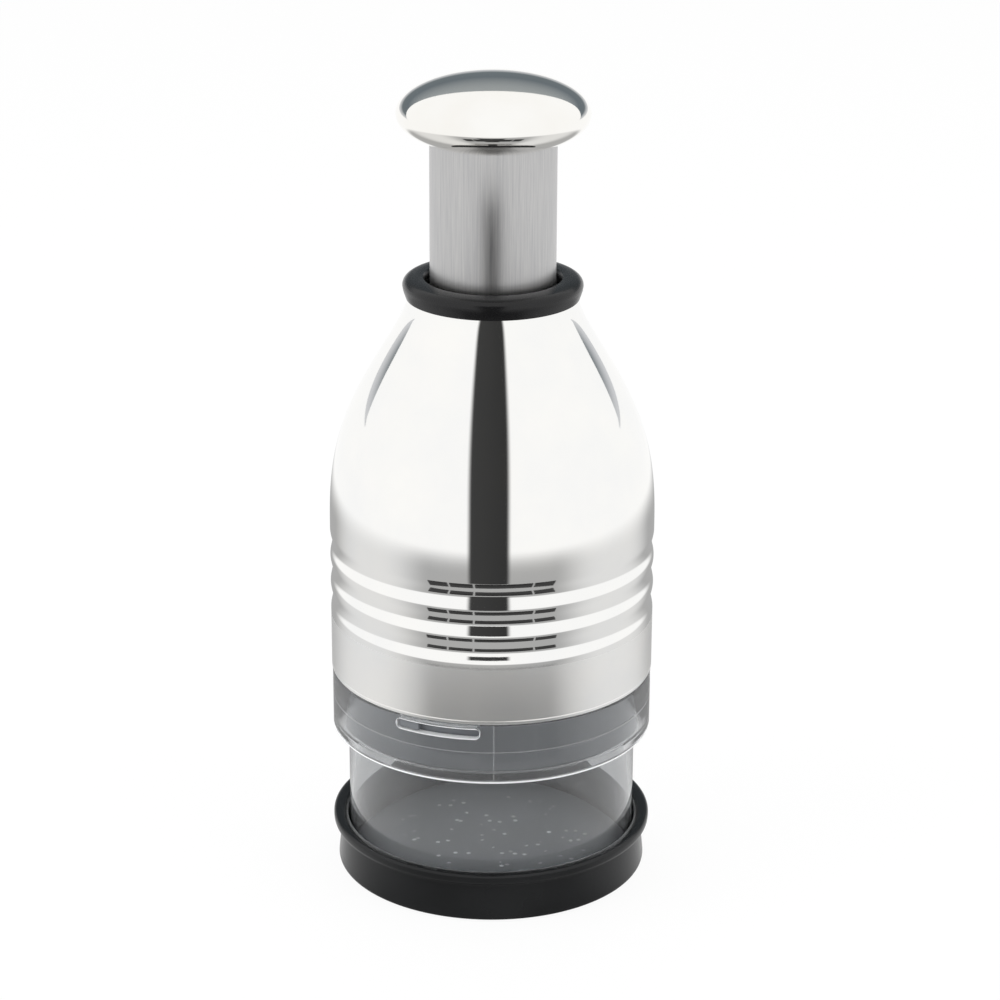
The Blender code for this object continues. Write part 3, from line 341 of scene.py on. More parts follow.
def maths(tree, operation, first, second=None):
    """One sum. Each side is a number or another node's output."""
    node = tree.nodes.new("ShaderNodeMath")
    node.operation = operation
    for index, value in enumerate((first, second)):
        if isinstance(value, (int, float)):
            node.inputs[index].default_value = value
        elif value is not None:
            tree.links.new(value, node.inputs[index])
    return node.outputs[0]


def within(tree, value, middle, half_width):
    """1 where the value is at the middle, falling to 0 at half a width and a little more."""
    away = maths(tree, "ABSOLUTE", maths(tree, "SUBTRACT", value, middle))
    return add_node(
        tree, "ShaderNodeMapRange", {"Value": away}, From_Min=half_width * 0.6,
        From_Max=half_width * 1.4, To_Min=1.0, To_Max=0.0).outputs["Result"]


def frost_and_highlight_mask(tree):
    """Where the cup is frosted along its seam and one pale line, and painted highlights round its slots and
    under its shoulder.
    """
    place = add_node(tree, "ShaderNodeTexCoord").outputs["Object"]
    axes = add_node(tree, "ShaderNodeSeparateXYZ", {"Vector": place})
    across, along, height = (axes.outputs[axis] for axis in "XYZ")
    radius = maths(tree, "SQRT", maths(
        tree, "ADD", maths(tree, "MULTIPLY", across, across), maths(tree, "MULTIPLY", along, along)))
    turn = maths(tree, "ARCTAN2", along, across)
    pitch = 2 * math.pi / BAYONETS
    middle = math.radians(SLOT_START + SLOT_ARC / 2)
    nearest = maths(tree, "FLOORED_MODULO", maths(tree, "ADD", turn, pitch / 2 - middle), pitch)
    aside = maths(tree, "MULTIPLY", maths(
        tree, "ABSOLUTE", maths(tree, "SUBTRACT", nearest, pitch / 2)), SOCKET_RADIUS)
    straight = SOCKET_RADIUS * math.radians(SLOT_ARC) / 2 - SLOT_HEIGHT / 2
    aside = maths(tree, "MAXIMUM", maths(tree, "SUBTRACT", aside, straight), 0.0)
    rise = maths(tree, "SUBTRACT", height, SLOT_HIGH - SLOT_HEIGHT / 2)
    reach = maths(tree, "SQRT", maths(
        tree, "ADD", maths(tree, "MULTIPLY", aside, aside), maths(tree, "MULTIPLY", rise, rise)))
    # Painted highlight: a pale rim round each slot, where its cut edges catch the light.
    slots = within(tree, reach, SLOT_HEIGHT / 2, PALE_LINE_WIDTH)
    outside = maths(tree, "GREATER_THAN", radius, SOCKET_RADIUS - SOCKET_WALL / 2)
    # Painted highlight: a pale band under the socket's shoulder, where its lower edge catches the light.
    shoulder = within(tree, height, SHOULDER_LOW + 0.25 * MM, 2 * PALE_LINE_WIDTH)
    shoulder = maths(tree, "MULTIPLY", shoulder, outside)
    front = maths(tree, "LESS_THAN", along, 0.0)
    seam = maths(tree, "MULTIPLY", within(tree, across, SEAM_ASIDE, PALE_LINE_WIDTH / 2), front)
    seam = maths(tree, "MULTIPLY", maths(tree, "MULTIPLY", seam, outside), 0.18)
    line = within(tree, height, LINE_HEIGHT, PALE_LINE_WIDTH * 0.8)
    line = maths(tree, "MULTIPLY", maths(tree, "MULTIPLY", line, maths(
        tree, "LESS_THAN", radius, SOCKET_RADIUS - SOCKET_WALL * 0.9)), 0.4)
    # The painted highlights of the slots and the shoulder, then joined with the seam and the pale line.
    edges = maths(tree, "MAXIMUM", maths(tree, "MULTIPLY", slots, 0.7), maths(
        tree, "MULTIPLY", shoulder, 0.8))
    return maths(tree, "MAXIMUM", edges, maths(tree, "MAXIMUM", seam, line))


def clear_plastic():
    material, tree, shader = new_material("clear_polystyrene")
    shader.inputs["IOR"].default_value = 1.5
    wisps = add_node(
        tree, "ShaderNodeTexNoise", {"Vector": object_place(tree, (1.0, 1.0, 0.2))},
        Scale=1 / SCRATCH_WIDTH, Detail=3.0, Roughness=0.7)
    rough = add_node(
        tree, "ShaderNodeMapRange", {"Value": wisps.outputs["Fac"]},
        From_Min=0.55, From_Max=0.8, To_Min=0.01, To_Max=0.1)
    # Frost along the seam and the line, and painted highlights at the slots and the shoulder: rougher and
    # less clear there.
    frost_and_highlight = frost_and_highlight_mask(tree)
    rough = maths(tree, "ADD", rough.outputs["Result"], maths(tree, "MULTIPLY", frost_and_highlight, 0.5))
    clear = maths(tree, "MULTIPLY", maths(tree, "SUBTRACT", 1.0, frost_and_highlight), 1 - HAZE)
    tint = ramp(tree, wisps.outputs["Fac"], [(0.4, linear("#fafbfc")), (0.8, linear("#f1f4f6"))])
    tree.links.new(rough, shader.inputs["Roughness"])
    tree.links.new(clear, shader.inputs["Transmission Weight"])
    tree.links.new(tint, shader.inputs["Base Color"])
    return material


CLEAR = clear_plastic()
print("clear plastic made")

# %% [markdown]
# The pieces inside keep their CAD meshes: nobody sees more of them than a glimpse.
# They still get the finish of what they are made of, by the record's material slot.

# %% Finish the CAD nodes
SLOT_FINISH = {
    "polished_steel": SHELL_STEEL, "brushed_steel": PLATE_STEEL, "blade_steel": BLADE_STEEL,
    "spring_steel": SPRING_STEEL, "clear_plastic": CLEAR, "black_plastic": BASE_BLACK,
    "black_rubber": COLLAR_BLACK, "grey_plastic": LINER_GREY, "board_plastic": BOARD,
    "pale_plastic": INNER_PALE}
SLOT_OF = {part["node"]: part["material_slot"] for part in frame["record"]["subparts"]}


def finish_cad_nodes():
    for name, node in frame["nodes"].items():
        for place in node.material_slots:
            place.material = SLOT_FINISH[SLOT_OF[name]]


finish_cad_nodes()
print(len(frame["nodes"]), "CAD nodes finished")

# %% [markdown]
# Nearly every piece is a turned shape. A designer draws half of its section and turns it.
# soften rounds the corners of that outline: no real edge is sharp, and a round edge catches light.
# spun_mesh turns the outline round the axis. show puts the mesh into the scene, on its body.

# %% Turned pieces
SIDES = 160


def soften(points, cut, steps=4, closed=True):
    """The outline with each corner cut back and replaced by a short curve."""
    count = len(points)
    made = []
    for index, point in enumerate(points):
        if not closed and index in (0, count - 1):
            made.append(point)
            continue
        corner = Vector(point)
        before = Vector(points[index - 1]) - corner
        after = Vector(points[(index + 1) % count]) - corner
        start = corner + before.normalized() * min(cut, before.length * 0.45)
        end = corner + after.normalized() * min(cut, after.length * 0.45)
        for step in range(steps + 1):
            share = step / steps
            made.append(tuple(
                start * (1 - share) ** 2 + corner * 2 * share * (1 - share) + end * share ** 2))
    return made


def arc(middle_radius, middle_height, across, up, first, last, steps):
    """Points of an elliptical arc of an outline, from one angle to another in degrees."""
    points = []
    for step in range(steps + 1):
        angle = math.radians(first + (last - first) * step / steps)
        points.append((middle_radius + across * math.cos(angle), middle_height + up * math.sin(angle)))
    return points


def spun_mesh(name, outline, closed=True, sides=SIDES):
    """The mesh of an outline of (radius, height) points, turned round the Z axis."""
    shape = bmesh.new()
    points = [shape.verts.new((radius, 0, height)) for radius, height in outline]
    pairs = list(zip(points, points[1:]))
    if closed:
        pairs.append((points[-1], points[0]))
    edges = [shape.edges.new(pair) for pair in pairs]
    bmesh.ops.spin(
        shape, geom=points + edges, cent=(0, 0, 0), axis=(0, 0, 1), angle=2 * math.pi,
        steps=sides, use_merge=True, use_duplicate=False)
    bmesh.ops.remove_doubles(shape, verts=shape.verts, dist=0.001 * MM)
    bmesh.ops.recalc_face_normals(shape, faces=shape.faces)
    mesh = bpy.data.meshes.new(name)
    shape.to_mesh(mesh)
    shape.free()
    return mesh


def show(name, mesh, material, body, nodes=(), edge_angle=40):
    """Puts a finished mesh into the scene, smooth but for its sharp edges."""
    mesh.materials.clear()
    mesh.materials.append(material)
    mesh.shade_smooth()
    mesh.set_sharp_from_angle(angle=math.radians(edge_angle))
    piece = bpy.data.objects.new(name, mesh)
    bpy.context.scene.collection.objects.link(piece)
    if nodes:
        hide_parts(*nodes)
    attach(piece, body)
    print(f"{name}: {len(mesh.polygons)} faces on {body}")
    return piece


def applied(mesh, *tools):
    """The mesh after Boolean steps, each given as (operation, mesh of the other shape)."""
    holder = bpy.data.objects.new("holder", mesh)
    bpy.context.scene.collection.objects.link(holder)
    others = []
    for operation, other in tools:
        step = holder.modifiers.new(operation, "BOOLEAN")
        step.operation = operation
        step.solver = "EXACT"
        step.object = bpy.data.objects.new("tool", other)
        bpy.context.scene.collection.objects.link(step.object)
        others.append(step.object)
    bpy.context.view_layer.update()
    graph = bpy.context.evaluated_depsgraph_get()
    result = bpy.data.meshes.new_from_object(holder.evaluated_get(graph))
    for thing in (holder, *others):
        bpy.data.objects.remove(thing, do_unlink=True)
    return result


# %% [markdown]
# The shell is one drawn skin. Its shoulder follows a flattened curve that turns upright at the neck.
# Below the shoulder lie three rolled grooves, a smooth wave, and then the plain satin band.
# The sheet is folded back at the bottom, which shows as a fine bright hem.

# %% Steel shell
low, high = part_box("steel_shell")
SHELL_RADIUS = high.x
SHELL_BOTTOM = low.z
SHELL_TOP = high.z
SHELL_WALL = 0.7 * MM
DOME_HEIGHT = 64.7 * MM
DOME_BOTTOM = SHELL_TOP - DOME_HEIGHT
NECK_RADIUS = 22.46 * MM
DOME_POWER = 2.72
NECK_POWER = 1.667
DOME_STEPS = 60
GROOVE_PITCH = 7.7 * MM
GROOVE_DEPTH = 0.6 * MM
GROOVES = 3
GROOVE_STEPS = 16
HEM_HEIGHT = 1.0 * MM
HEM_STEP = 0.15 * MM
lower_liner, upper_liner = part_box("housing_liner")


def dome_points():
    points = []
    for step in range(DOME_STEPS):
        share = 1 - (step / DOME_STEPS) ** 1.5
        spread = (1 - share ** DOME_POWER) ** NECK_POWER
        radius = NECK_RADIUS + (SHELL_RADIUS - NECK_RADIUS) * spread
        points.append((radius, DOME_BOTTOM + DOME_HEIGHT * share))
    return points


def groove_points():
    points = []
    for step in range(GROOVES * GROOVE_STEPS + 1):
        share = step / GROOVE_STEPS
        depth = GROOVE_DEPTH * (1 - math.cos(2 * math.pi * share)) / 2
        points.append((SHELL_RADIUS - depth, DOME_BOTTOM - share * GROOVE_PITCH))
    return points


def make_shell():
    hem_top = SHELL_BOTTOM + HEM_HEIGHT
    outside = dome_points() + groove_points()
    outside += [
        (SHELL_RADIUS, hem_top + HEM_STEP), (SHELL_RADIUS - HEM_STEP, hem_top),
        (SHELL_RADIUS, hem_top - HEM_STEP)]
    outside += arc(
        SHELL_RADIUS - SHELL_WALL / 2, SHELL_BOTTOM + SHELL_WALL / 2, SHELL_WALL / 2, SHELL_WALL / 2,
        0, -180, 8)
    inside = [(radius - SHELL_WALL, height) for radius, height in reversed(dome_points() + groove_points())]
    inside[-1] = (NECK_RADIUS - SHELL_WALL, SHELL_TOP - SHELL_WALL)
    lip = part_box("collar_nut")[1].x - 1.5 * MM
    rim = [(lip, SHELL_TOP - SHELL_WALL), (lip, SHELL_TOP)]
    mesh = spun_mesh("shell_skin", outside + inside + rim)
    return show("shell_skin", mesh, SHELL_STEEL, "housing", ["steel_shell"])


make_shell()

# %% [markdown]
# The knob is a mushroom of pressed steel: a flat ellipse above its widest line and one below it.
# Both halves are arcs of the outline. The skin is hollow, with the moulded hub inside.

# %% Knob
low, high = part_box("knob_cap")
KNOB_RADIUS = high.x
KNOB_TOP = high.z
KNOB_BOTTOM = low.z
KNOB_CROWN = 10.4 * MM
KNOB_UNDER = 9.6 * MM
KNOB_WALL = 0.9 * MM
KNOB_MIDDLE = KNOB_TOP - KNOB_CROWN


def make_knob():
    end = math.degrees(math.asin((KNOB_MIDDLE - KNOB_BOTTOM) / KNOB_UNDER))
    outside = arc(0, KNOB_MIDDLE, KNOB_RADIUS, KNOB_CROWN, 90, 0, 40)
    outside += arc(0, KNOB_MIDDLE, KNOB_RADIUS, KNOB_UNDER, 0, -end, 24)[1:]
    inner = KNOB_RADIUS - KNOB_WALL
    inside = arc(0, KNOB_MIDDLE, inner, KNOB_UNDER - KNOB_WALL, -end, 0, 12)
    inside += arc(0, KNOB_MIDDLE, inner, KNOB_CROWN - KNOB_WALL, 0, 90, 16)[1:]
    mesh = spun_mesh("knob_skin", outside + inside, closed=False)
    return show("knob_skin", mesh, KNOB_STEEL, "plunger", ["knob_cap"])


make_knob()

# %% [markdown]
# The plunger tube slides through the collar. The collar is a soft black ring with a rolled rim.
# Its top dips towards the tube, and a guide bush sits down in that dish.

# %% Tube, collar and bush
EDGE = 0.3 * MM
SKIRT_DROP = 0.9 * MM    # how far the collar's edge laps down over the neck
SKIRT_GAP = 0.35 * MM
SPIGOT_RADIUS = 20.2 * MM    # of the sleeve that stands in the neck


def make_tube():
    low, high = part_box("plunger_tube")
    wall = 0.7 * MM
    outline = [(high.x, high.z), (high.x, low.z), (high.x - wall, low.z), (high.x - wall, high.z)]
    mesh = spun_mesh("tube_skin", soften(outline, EDGE))
    return show("tube_skin", mesh, TUBE_STEEL, "plunger", ["plunger_tube"])


def make_collar():
    low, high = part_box("collar")
    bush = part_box("guide_bush")[1]
    seat = SHELL_TOP + 0.3 * MM
    crest = high.z
    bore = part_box("plunger_tube")[1].x + 0.9 * MM
    bead = (crest - seat) / 2
    skirt = NECK_RADIUS + SKIRT_GAP
    outline = [(bore, crest - 1.2 * MM), (bore + 0.9 * MM, crest - 0.1 * MM), (bore + 2.2 * MM, crest)]
    outline += arc(high.x - bead, seat + bead, bead, bead * 0.94, 80, 0, 10)
    outline += [
        (high.x - 0.2 * MM, seat + bead * 0.5), (high.x - 0.9 * MM, seat - SKIRT_DROP),
        (skirt, seat - SKIRT_DROP), (skirt, seat), (SPIGOT_RADIUS, seat),
        (SPIGOT_RADIUS, low.z), (bush.x + 0.3 * MM, low.z),
        (bush.x + 0.3 * MM, bush.z + 0.3 * MM), (bore, bush.z + 0.3 * MM)]
    mesh = spun_mesh("collar_ring", outline)
    return show("collar_ring", mesh, COLLAR_BLACK, "housing", ["collar"])


make_tube()
make_collar()

# %% [markdown]
# The base is a black dish with a rounded lip. The cup stands in it, and the board lies inside.
# The wall leans out towards the foot, and the lip stands proud of it all round.

# %% Base, foot and board
low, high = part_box("base_dish")
BASE_BOTTOM = low.z
LIP_TOP = high.z
LIP_RADIUS = high.x
CUP_RADIUS = 39.4 * MM
BASE_INSIDE = CUP_RADIUS + 0.3 * MM
LIP_HEIGHT = 3.2 * MM
NARROW = 41.6 * MM
WIDE = 42.7 * MM


def make_base():
    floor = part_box("chopping_disc")[0].z - 0.3 * MM
    foot_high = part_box("foot_ring")[1]
    groove = foot_high.z + 0.3 * MM
    outer = foot_high.x + 0.3 * MM
    inner = foot_high.x - 4.3 * MM
    outline = [(0, floor)]
    outline += soften([
        (0, floor), (BASE_INSIDE, floor), (BASE_INSIDE, LIP_TOP - 0.9 * MM),
        (BASE_INSIDE + 1.6 * MM, LIP_TOP), (LIP_RADIUS, LIP_TOP),
        (LIP_RADIUS, LIP_TOP - LIP_HEIGHT + 0.4 * MM),
        (NARROW, LIP_TOP - LIP_HEIGHT - 0.3 * MM), (WIDE, BASE_BOTTOM), (outer, BASE_BOTTOM)],
        1.1 * MM, 6, closed=False)[1:]
    outline += [(outer, groove), (inner, groove), (inner, BASE_BOTTOM), (0, BASE_BOTTOM)]
    mesh = spun_mesh("base_bowl", outline, closed=False)
    show("base_bowl", mesh, BASE_BLACK, "base", ["base_dish"])
    outline = [
        (foot_high.x, foot_high.z), (foot_high.x, 0), (foot_high.x - 4 * MM, 0),
        (foot_high.x - 4 * MM, foot_high.z)]
    mesh = spun_mesh("foot_band", soften(outline, 0.5 * MM))
    show("foot_band", mesh, FOOT_BLACK, "base", ["foot_ring"])


def make_board():
    low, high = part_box("chopping_disc")
    outline = soften(
        [(0, high.z), (high.x, high.z), (high.x, low.z), (0, low.z)], 0.6 * MM, closed=False)
    mesh = spun_mesh("board_plate", outline, closed=False)
    return show("board_plate", mesh, BOARD, "base", ["chopping_disc"])


make_base()
make_board()

# %% [markdown]
# The cup is one clear moulding in two steps: a narrow chamber and a wider socket above it.
# Three bayonet slots run round the socket. Each is a strip of the wall with round ends.
# The strip is spun from a rectangle, its end edges are bevelled round, and it is cut away.

# %% Clear cup
CUP_WALL = 2.0 * MM
CUP_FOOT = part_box("clear_cup")[0].z


def band_mesh(name, inner, outer, start, sweep, low, high, round_off=0.0, steps=24):
    """A strip of a round wall, over an arc in degrees, with its ends rounded off."""
    shape = bmesh.new()
    corners = [shape.verts.new(place) for place in (
        (inner, 0, low), (outer, 0, low), (outer, 0, high), (inner, 0, high))]
    face = shape.faces.new(corners)
    bmesh.ops.rotate(
        shape, cent=(0, 0, 0), matrix=Matrix.Rotation(math.radians(start), 3, "Z"), verts=shape.verts)
    bmesh.ops.spin(
        shape, geom=[face], cent=(0, 0, 0), axis=(0, 0, 1), angle=math.radians(sweep),
        steps=steps, use_duplicate=False)
    bmesh.ops.recalc_face_normals(shape, faces=shape.faces)
    if round_off:
        ends = [
            edge for edge in shape.edges
            if edge.calc_length() > (outer - inner) * 0.9
            and abs(edge.verts[0].co.z - edge.verts[1].co.z) < EDGE
            and abs(edge.verts[0].co.xy.length - edge.verts[1].co.xy.length) > EDGE
            and len({round(face.normal.z) for face in edge.link_faces}) > 1]
        bmesh.ops.bevel(
            shape, geom=ends, offset=round_off, offset_type="OFFSET", affect="EDGES", segments=6,
            profile=0.5, material=-1, clamp_overlap=True)
    mesh = bpy.data.meshes.new(name)
    shape.to_mesh(mesh)
    shape.free()
    return mesh


def make_cup():
    outline = soften([
        (SOCKET_RADIUS, SOCKET_TOP), (SOCKET_RADIUS, SHOULDER_LOW), (CUP_RADIUS, SHOULDER_LOW),
        (CUP_RADIUS, CUP_FOOT), (CUP_RADIUS - CUP_WALL, CUP_FOOT), (CUP_RADIUS - CUP_WALL, SHOULDER_HIGH),
        (SOCKET_RADIUS - SOCKET_WALL, SHOULDER_HIGH), (SOCKET_RADIUS - SOCKET_WALL, SOCKET_TOP)],
        0.55 * MM, 5)
    tools = []
    for index in range(BAYONETS):
        start = SLOT_START + 360 * index / BAYONETS
        tools.append(("DIFFERENCE", band_mesh(
            "slot", SOCKET_RADIUS - SOCKET_WALL - 1 * MM, SOCKET_RADIUS + 1 * MM, start, SLOT_ARC,
            SLOT_HIGH - SLOT_HEIGHT, SLOT_HIGH, SLOT_HEIGHT * 0.45)))
    mesh = applied(spun_mesh("cup", outline), *tools)
    return show("cup_wall", mesh, CLEAR, "cup", ["clear_cup"])


make_cup()

# %% [markdown]
# Through the socket shows the dark skirt of the housing's liner, with its bayonet lugs.
# Its inner frame is three arms and a ring, which hold the cam post.
# They are joined to the skirt with Boolean unions, as one moulding.

# %% Housing liner
LINER_RADIUS = 41.3 * MM
LINER_WALL = 2.0 * MM
SPIDER_LOW = upper_liner.z - 4 * MM
SPIDER_HIGH = upper_liner.z - 1 * MM
SPIDER_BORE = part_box("spring_seat")[1].x + 0.3 * MM
SPIDER_RING = SPIDER_BORE + 7.2 * MM
ARM_WIDTH = 9 * MM
LUG_ARC = 8.0


def arm_mesh(angle):
    inner = (SPIDER_BORE + SPIDER_RING) / 2
    outer = LINER_RADIUS - LINER_WALL / 2
    shape = bmesh.new()
    bmesh.ops.create_cube(shape, size=1.0)
    bmesh.ops.scale(shape, vec=(outer - inner, ARM_WIDTH, SPIDER_HIGH - SPIDER_LOW), verts=shape.verts)
    bmesh.ops.translate(
        shape, vec=((inner + outer) / 2, 0, (SPIDER_LOW + SPIDER_HIGH) / 2), verts=shape.verts)
    bmesh.ops.rotate(
        shape, cent=(0, 0, 0), matrix=Matrix.Rotation(math.radians(angle), 3, "Z"), verts=shape.verts)
    mesh = bpy.data.meshes.new("arm")
    shape.to_mesh(mesh)
    shape.free()
    return mesh


def make_liner():
    band = SHELL_RADIUS - SHELL_WALL - 0.3 * MM
    band_low = SHELL_BOTTOM + 0.3 * MM
    outline = soften([
        (LINER_RADIUS, upper_liner.z), (LINER_RADIUS, band_low + 3 * MM), (band, band_low + 3 * MM),
        (band, band_low), (LINER_RADIUS, band_low), (LINER_RADIUS, lower_liner.z),
        (LINER_RADIUS - LINER_WALL, lower_liner.z), (LINER_RADIUS - LINER_WALL, upper_liner.z)],
        0.4 * MM, 3)
    ring = soften([
        (SPIDER_RING, SPIDER_HIGH), (SPIDER_RING, SPIDER_LOW), (SPIDER_BORE, SPIDER_LOW),
        (SPIDER_BORE, SPIDER_HIGH)], 0.3 * MM, 2)
    tools = [("UNION", arm_mesh(60 + 120 * index)) for index in range(3)]
    tools.append(("UNION", spun_mesh("ring", ring)))
    for index in range(BAYONETS):
        start = SLOT_START + 360 * index / BAYONETS + 0.6
        tools.append(("UNION", band_mesh(
            "lug", LINER_RADIUS - LINER_WALL / 2, SOCKET_RADIUS - 0.6 * MM, start, LUG_ARC,
            SLOT_HIGH - SLOT_HEIGHT + 0.4 * MM, SLOT_HIGH - 0.4 * MM, 0.0, 8)))
    mesh = applied(spun_mesh("liner", outline), *tools)
    return show("liner_frame", mesh, LINER_GREY, "housing", ["housing_liner"])


make_liner()

# %% [markdown]
# The blade is one long strip folded to and fro, and it shows in the chamber when it is pushed down.
# The wiper plate has the same zigzag cut through it and scrapes the strip clean on the way up.
# One function gives the path of both: straight legs that turn round folds on a circle.

# %% Blade path
low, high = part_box("zigzag_blade")
BLADE_LOW = low.z
BLADE_HIGH = high.z
BLADE_REACH = 31.2 * MM
BLADE_THICKNESS = 0.6 * MM
BLADE_FOLDS = 7
BLADE_SPREAD_SHARE = 0.87
FOLD_RADIUS = 1.4 * MM
FOLD_STEPS = 10
BEVEL_HEIGHT = 1.6 * MM
BEVEL_SHARE = 0.25


def zigzag_path():
    reach = BLADE_REACH - FOLD_RADIUS
    folds = []
    for index in range(BLADE_FOLDS):
        across = reach * BLADE_SPREAD_SHARE * (2 * index / (BLADE_FOLDS - 1) - 1)
        along = math.sqrt(reach ** 2 - across ** 2)
        folds.append(Vector((across, along if index % 2 else -along)))
    normals = []
    for index in range(BLADE_FOLDS - 1):
        leg = folds[index + 1] - folds[index]
        lean = math.acos(2 * FOLD_RADIUS / leg.length)
        turn = Matrix.Rotation(lean if index % 2 else -lean, 2)
        normals.append(FOLD_RADIUS * (turn @ leg.normalized()))
    path = [folds[0] + normals[0]]
    for index in range(1, BLADE_FOLDS - 1):
        arrive = -normals[index - 1]
        sweep = arrive.angle(normals[index]) * (-1 if index % 2 else 1)
        for step in range(FOLD_STEPS + 1):
            path.append(folds[index] + Matrix.Rotation(sweep * step / FOLD_STEPS, 2) @ arrive)
    path.append(folds[-1] - normals[-1])
    return path


def ribbon_mesh(name, thickness, levels, edge_share=1.0):
    """An upright strip along the path. Its lowest edge is thinned to a share."""
    shape = bmesh.new()
    points = [shape.verts.new((*point, levels[0])) for point in zigzag_path()]
    edges = [shape.edges.new(pair) for pair in zip(points, points[1:])]
    for low, high in zip(levels, levels[1:]):
        raised = bmesh.ops.extrude_edge_only(shape, edges=edges)["geom"]
        edges = [item for item in raised if isinstance(item, bmesh.types.BMEdge)]
        lifted = [item for item in raised if isinstance(item, bmesh.types.BMVert)]
        bmesh.ops.translate(shape, vec=(0, 0, high - low), verts=lifted)
    mesh = bpy.data.meshes.new(name)
    shape.to_mesh(mesh)
    count = len(points)
    shape.free()
    holder = bpy.data.objects.new("holder", mesh)
    bpy.context.scene.collection.objects.link(holder)
    full = holder.vertex_groups.new(name="thickness")
    for vertex in mesh.vertices:
        full.add([vertex.index], edge_share if vertex.index < count else 1.0, "REPLACE")
    wall = holder.modifiers.new("Thickness", "SOLIDIFY")
    wall.thickness = thickness
    wall.offset = 0
    wall.use_even_offset = True
    wall.vertex_group = full.name
    bpy.context.view_layer.update()
    graph = bpy.context.evaluated_depsgraph_get()
    result = bpy.data.meshes.new_from_object(holder.evaluated_get(graph))
    bpy.data.objects.remove(holder, do_unlink=True)
    return result


print("blade path has", len(zigzag_path()), "points")

# %% Blade and wiper
WIPER_GAP = 0.4 * MM


def make_blade():
    levels = (BLADE_LOW, BLADE_LOW + BEVEL_HEIGHT, BLADE_HIGH)
    mesh = ribbon_mesh("blade_strip", BLADE_THICKNESS, levels, BEVEL_SHARE)
    return show("blade_strip", mesh, BLADE_STEEL, "rotor", ["zigzag_blade"])


def make_wiper():
    low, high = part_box("wiper_plate")
    seat = SHOULDER_HIGH + 0.3 * MM
    plate_top = low.z + 3 * MM
    rim = high.x - 1.8 * MM
    boss = CUP_RADIUS - CUP_WALL - 0.3 * MM
    outline = [(0, plate_top)]
    outline += soften([
        (0, plate_top), (rim - 2.2 * MM, plate_top), (rim, seat + 2.2 * MM), (rim, high.z),
        (high.x, high.z), (high.x, seat), (boss, seat), (boss, low.z), (0, low.z)],
        0.35 * MM, 3, closed=False)[1:]
    slot = ribbon_mesh(
        "slot", BLADE_THICKNESS + 2 * WIPER_GAP, (low.z - 1 * MM, plate_top + 1 * MM))
    mesh = applied(spun_mesh("wiper", outline, closed=False), ("DIFFERENCE", slot))
    return show("wiper_disc", mesh, LINER_GREY, "wiper", ["wiper_plate"])


make_blade()
make_wiper()

# %% [markdown]
# The return spring stands between the housing and the plunger, so it must shorten with the stroke.
# It is a wire swept along a helix.

# %% Return spring
SPRING_WIRE = 1.3 * MM
SPRING_TURNS = 7
DEAD_TURNS = 1
DEAD_GAP = 0.5 * MM
TURN_POINTS = 24


def make_spring():
    low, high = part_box("return_spring")
    radius = high.y - SPRING_WIRE / 2
    bottom = low.z + SPRING_WIRE / 2
    top = high.z - SPRING_WIRE / 2
    turns = SPRING_TURNS + 2 * DEAD_TURNS
    dead = DEAD_TURNS * (SPRING_WIRE + DEAD_GAP)
    curve = bpy.data.curves.new("spring_wire", "CURVE")
    curve.dimensions = "3D"
    curve.bevel_depth = SPRING_WIRE / 2
    curve.bevel_resolution = 2
    curve.use_fill_caps = True
    line = curve.splines.new("POLY")
    line.points.add(turns * TURN_POINTS)
    for step, point in enumerate(line.points):
        turn = step / TURN_POINTS
        if turn < DEAD_TURNS:
            height = bottom + dead * turn / DEAD_TURNS
        elif turn > turns - DEAD_TURNS:
            height = top - dead * (turns - turn) / DEAD_TURNS
        else:
            height = bottom + dead + (top - bottom - 2 * dead) * (turn - DEAD_TURNS) / SPRING_TURNS
        angle = 2 * math.pi * turn
        point.co = (radius * math.cos(angle), radius * math.sin(angle), height, 1)
    holder = bpy.data.objects.new("holder", curve)
    bpy.context.scene.collection.objects.link(holder)
    bpy.context.view_layer.update()
    graph = bpy.context.evaluated_depsgraph_get()
    mesh = bpy.data.meshes.new_from_object(holder.evaluated_get(graph))
    bpy.data.objects.remove(holder, do_unlink=True)
    mesh.name = "spring_coil"
    mesh.materials.clear()
    mesh.materials.append(SPRING_STEEL)
    mesh.shade_smooth()
    spring = bpy.data.objects.new("spring_coil", mesh)
    bpy.context.scene.collection.objects.link(spring)
    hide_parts("return_spring")
    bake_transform(spring)
    print("spring_coil:", len(mesh.polygons), "faces between housing and plunger")


make_spring()

# %% [markdown]
# The studio is a white sweep under soft boxes. Steel shows its surroundings, so they are modelled.
# The floor near the object gets less light, and the steel shows it as grey.
# Cards that only reflections see stand for the dark things in front and the backdrop behind.

# %% Studio materials
FLOOR_GREY = 0.42       # the floor beside the object, as a mirror shows it
GREY_END = 300 * MM
WHITE_START = 430 * MM
SIDE_LIGHT = 0.35       # how much lighter the floor is to the left and right


def soft_step(tree, value, start, end, low, high):
    """A smooth change from low to high while the value goes from start to end."""
    return add_node(
        tree, "ShaderNodeMapRange", {"Value": value}, interpolation_type="SMOOTHSTEP",
        From_Min=start, From_Max=end, To_Min=low, To_Max=high).outputs["Result"]


def fresh_tree(name):
    material = bpy.data.materials.new(name)
    material.use_nodes = True
    material.node_tree.nodes.clear()
    return material, material.node_tree


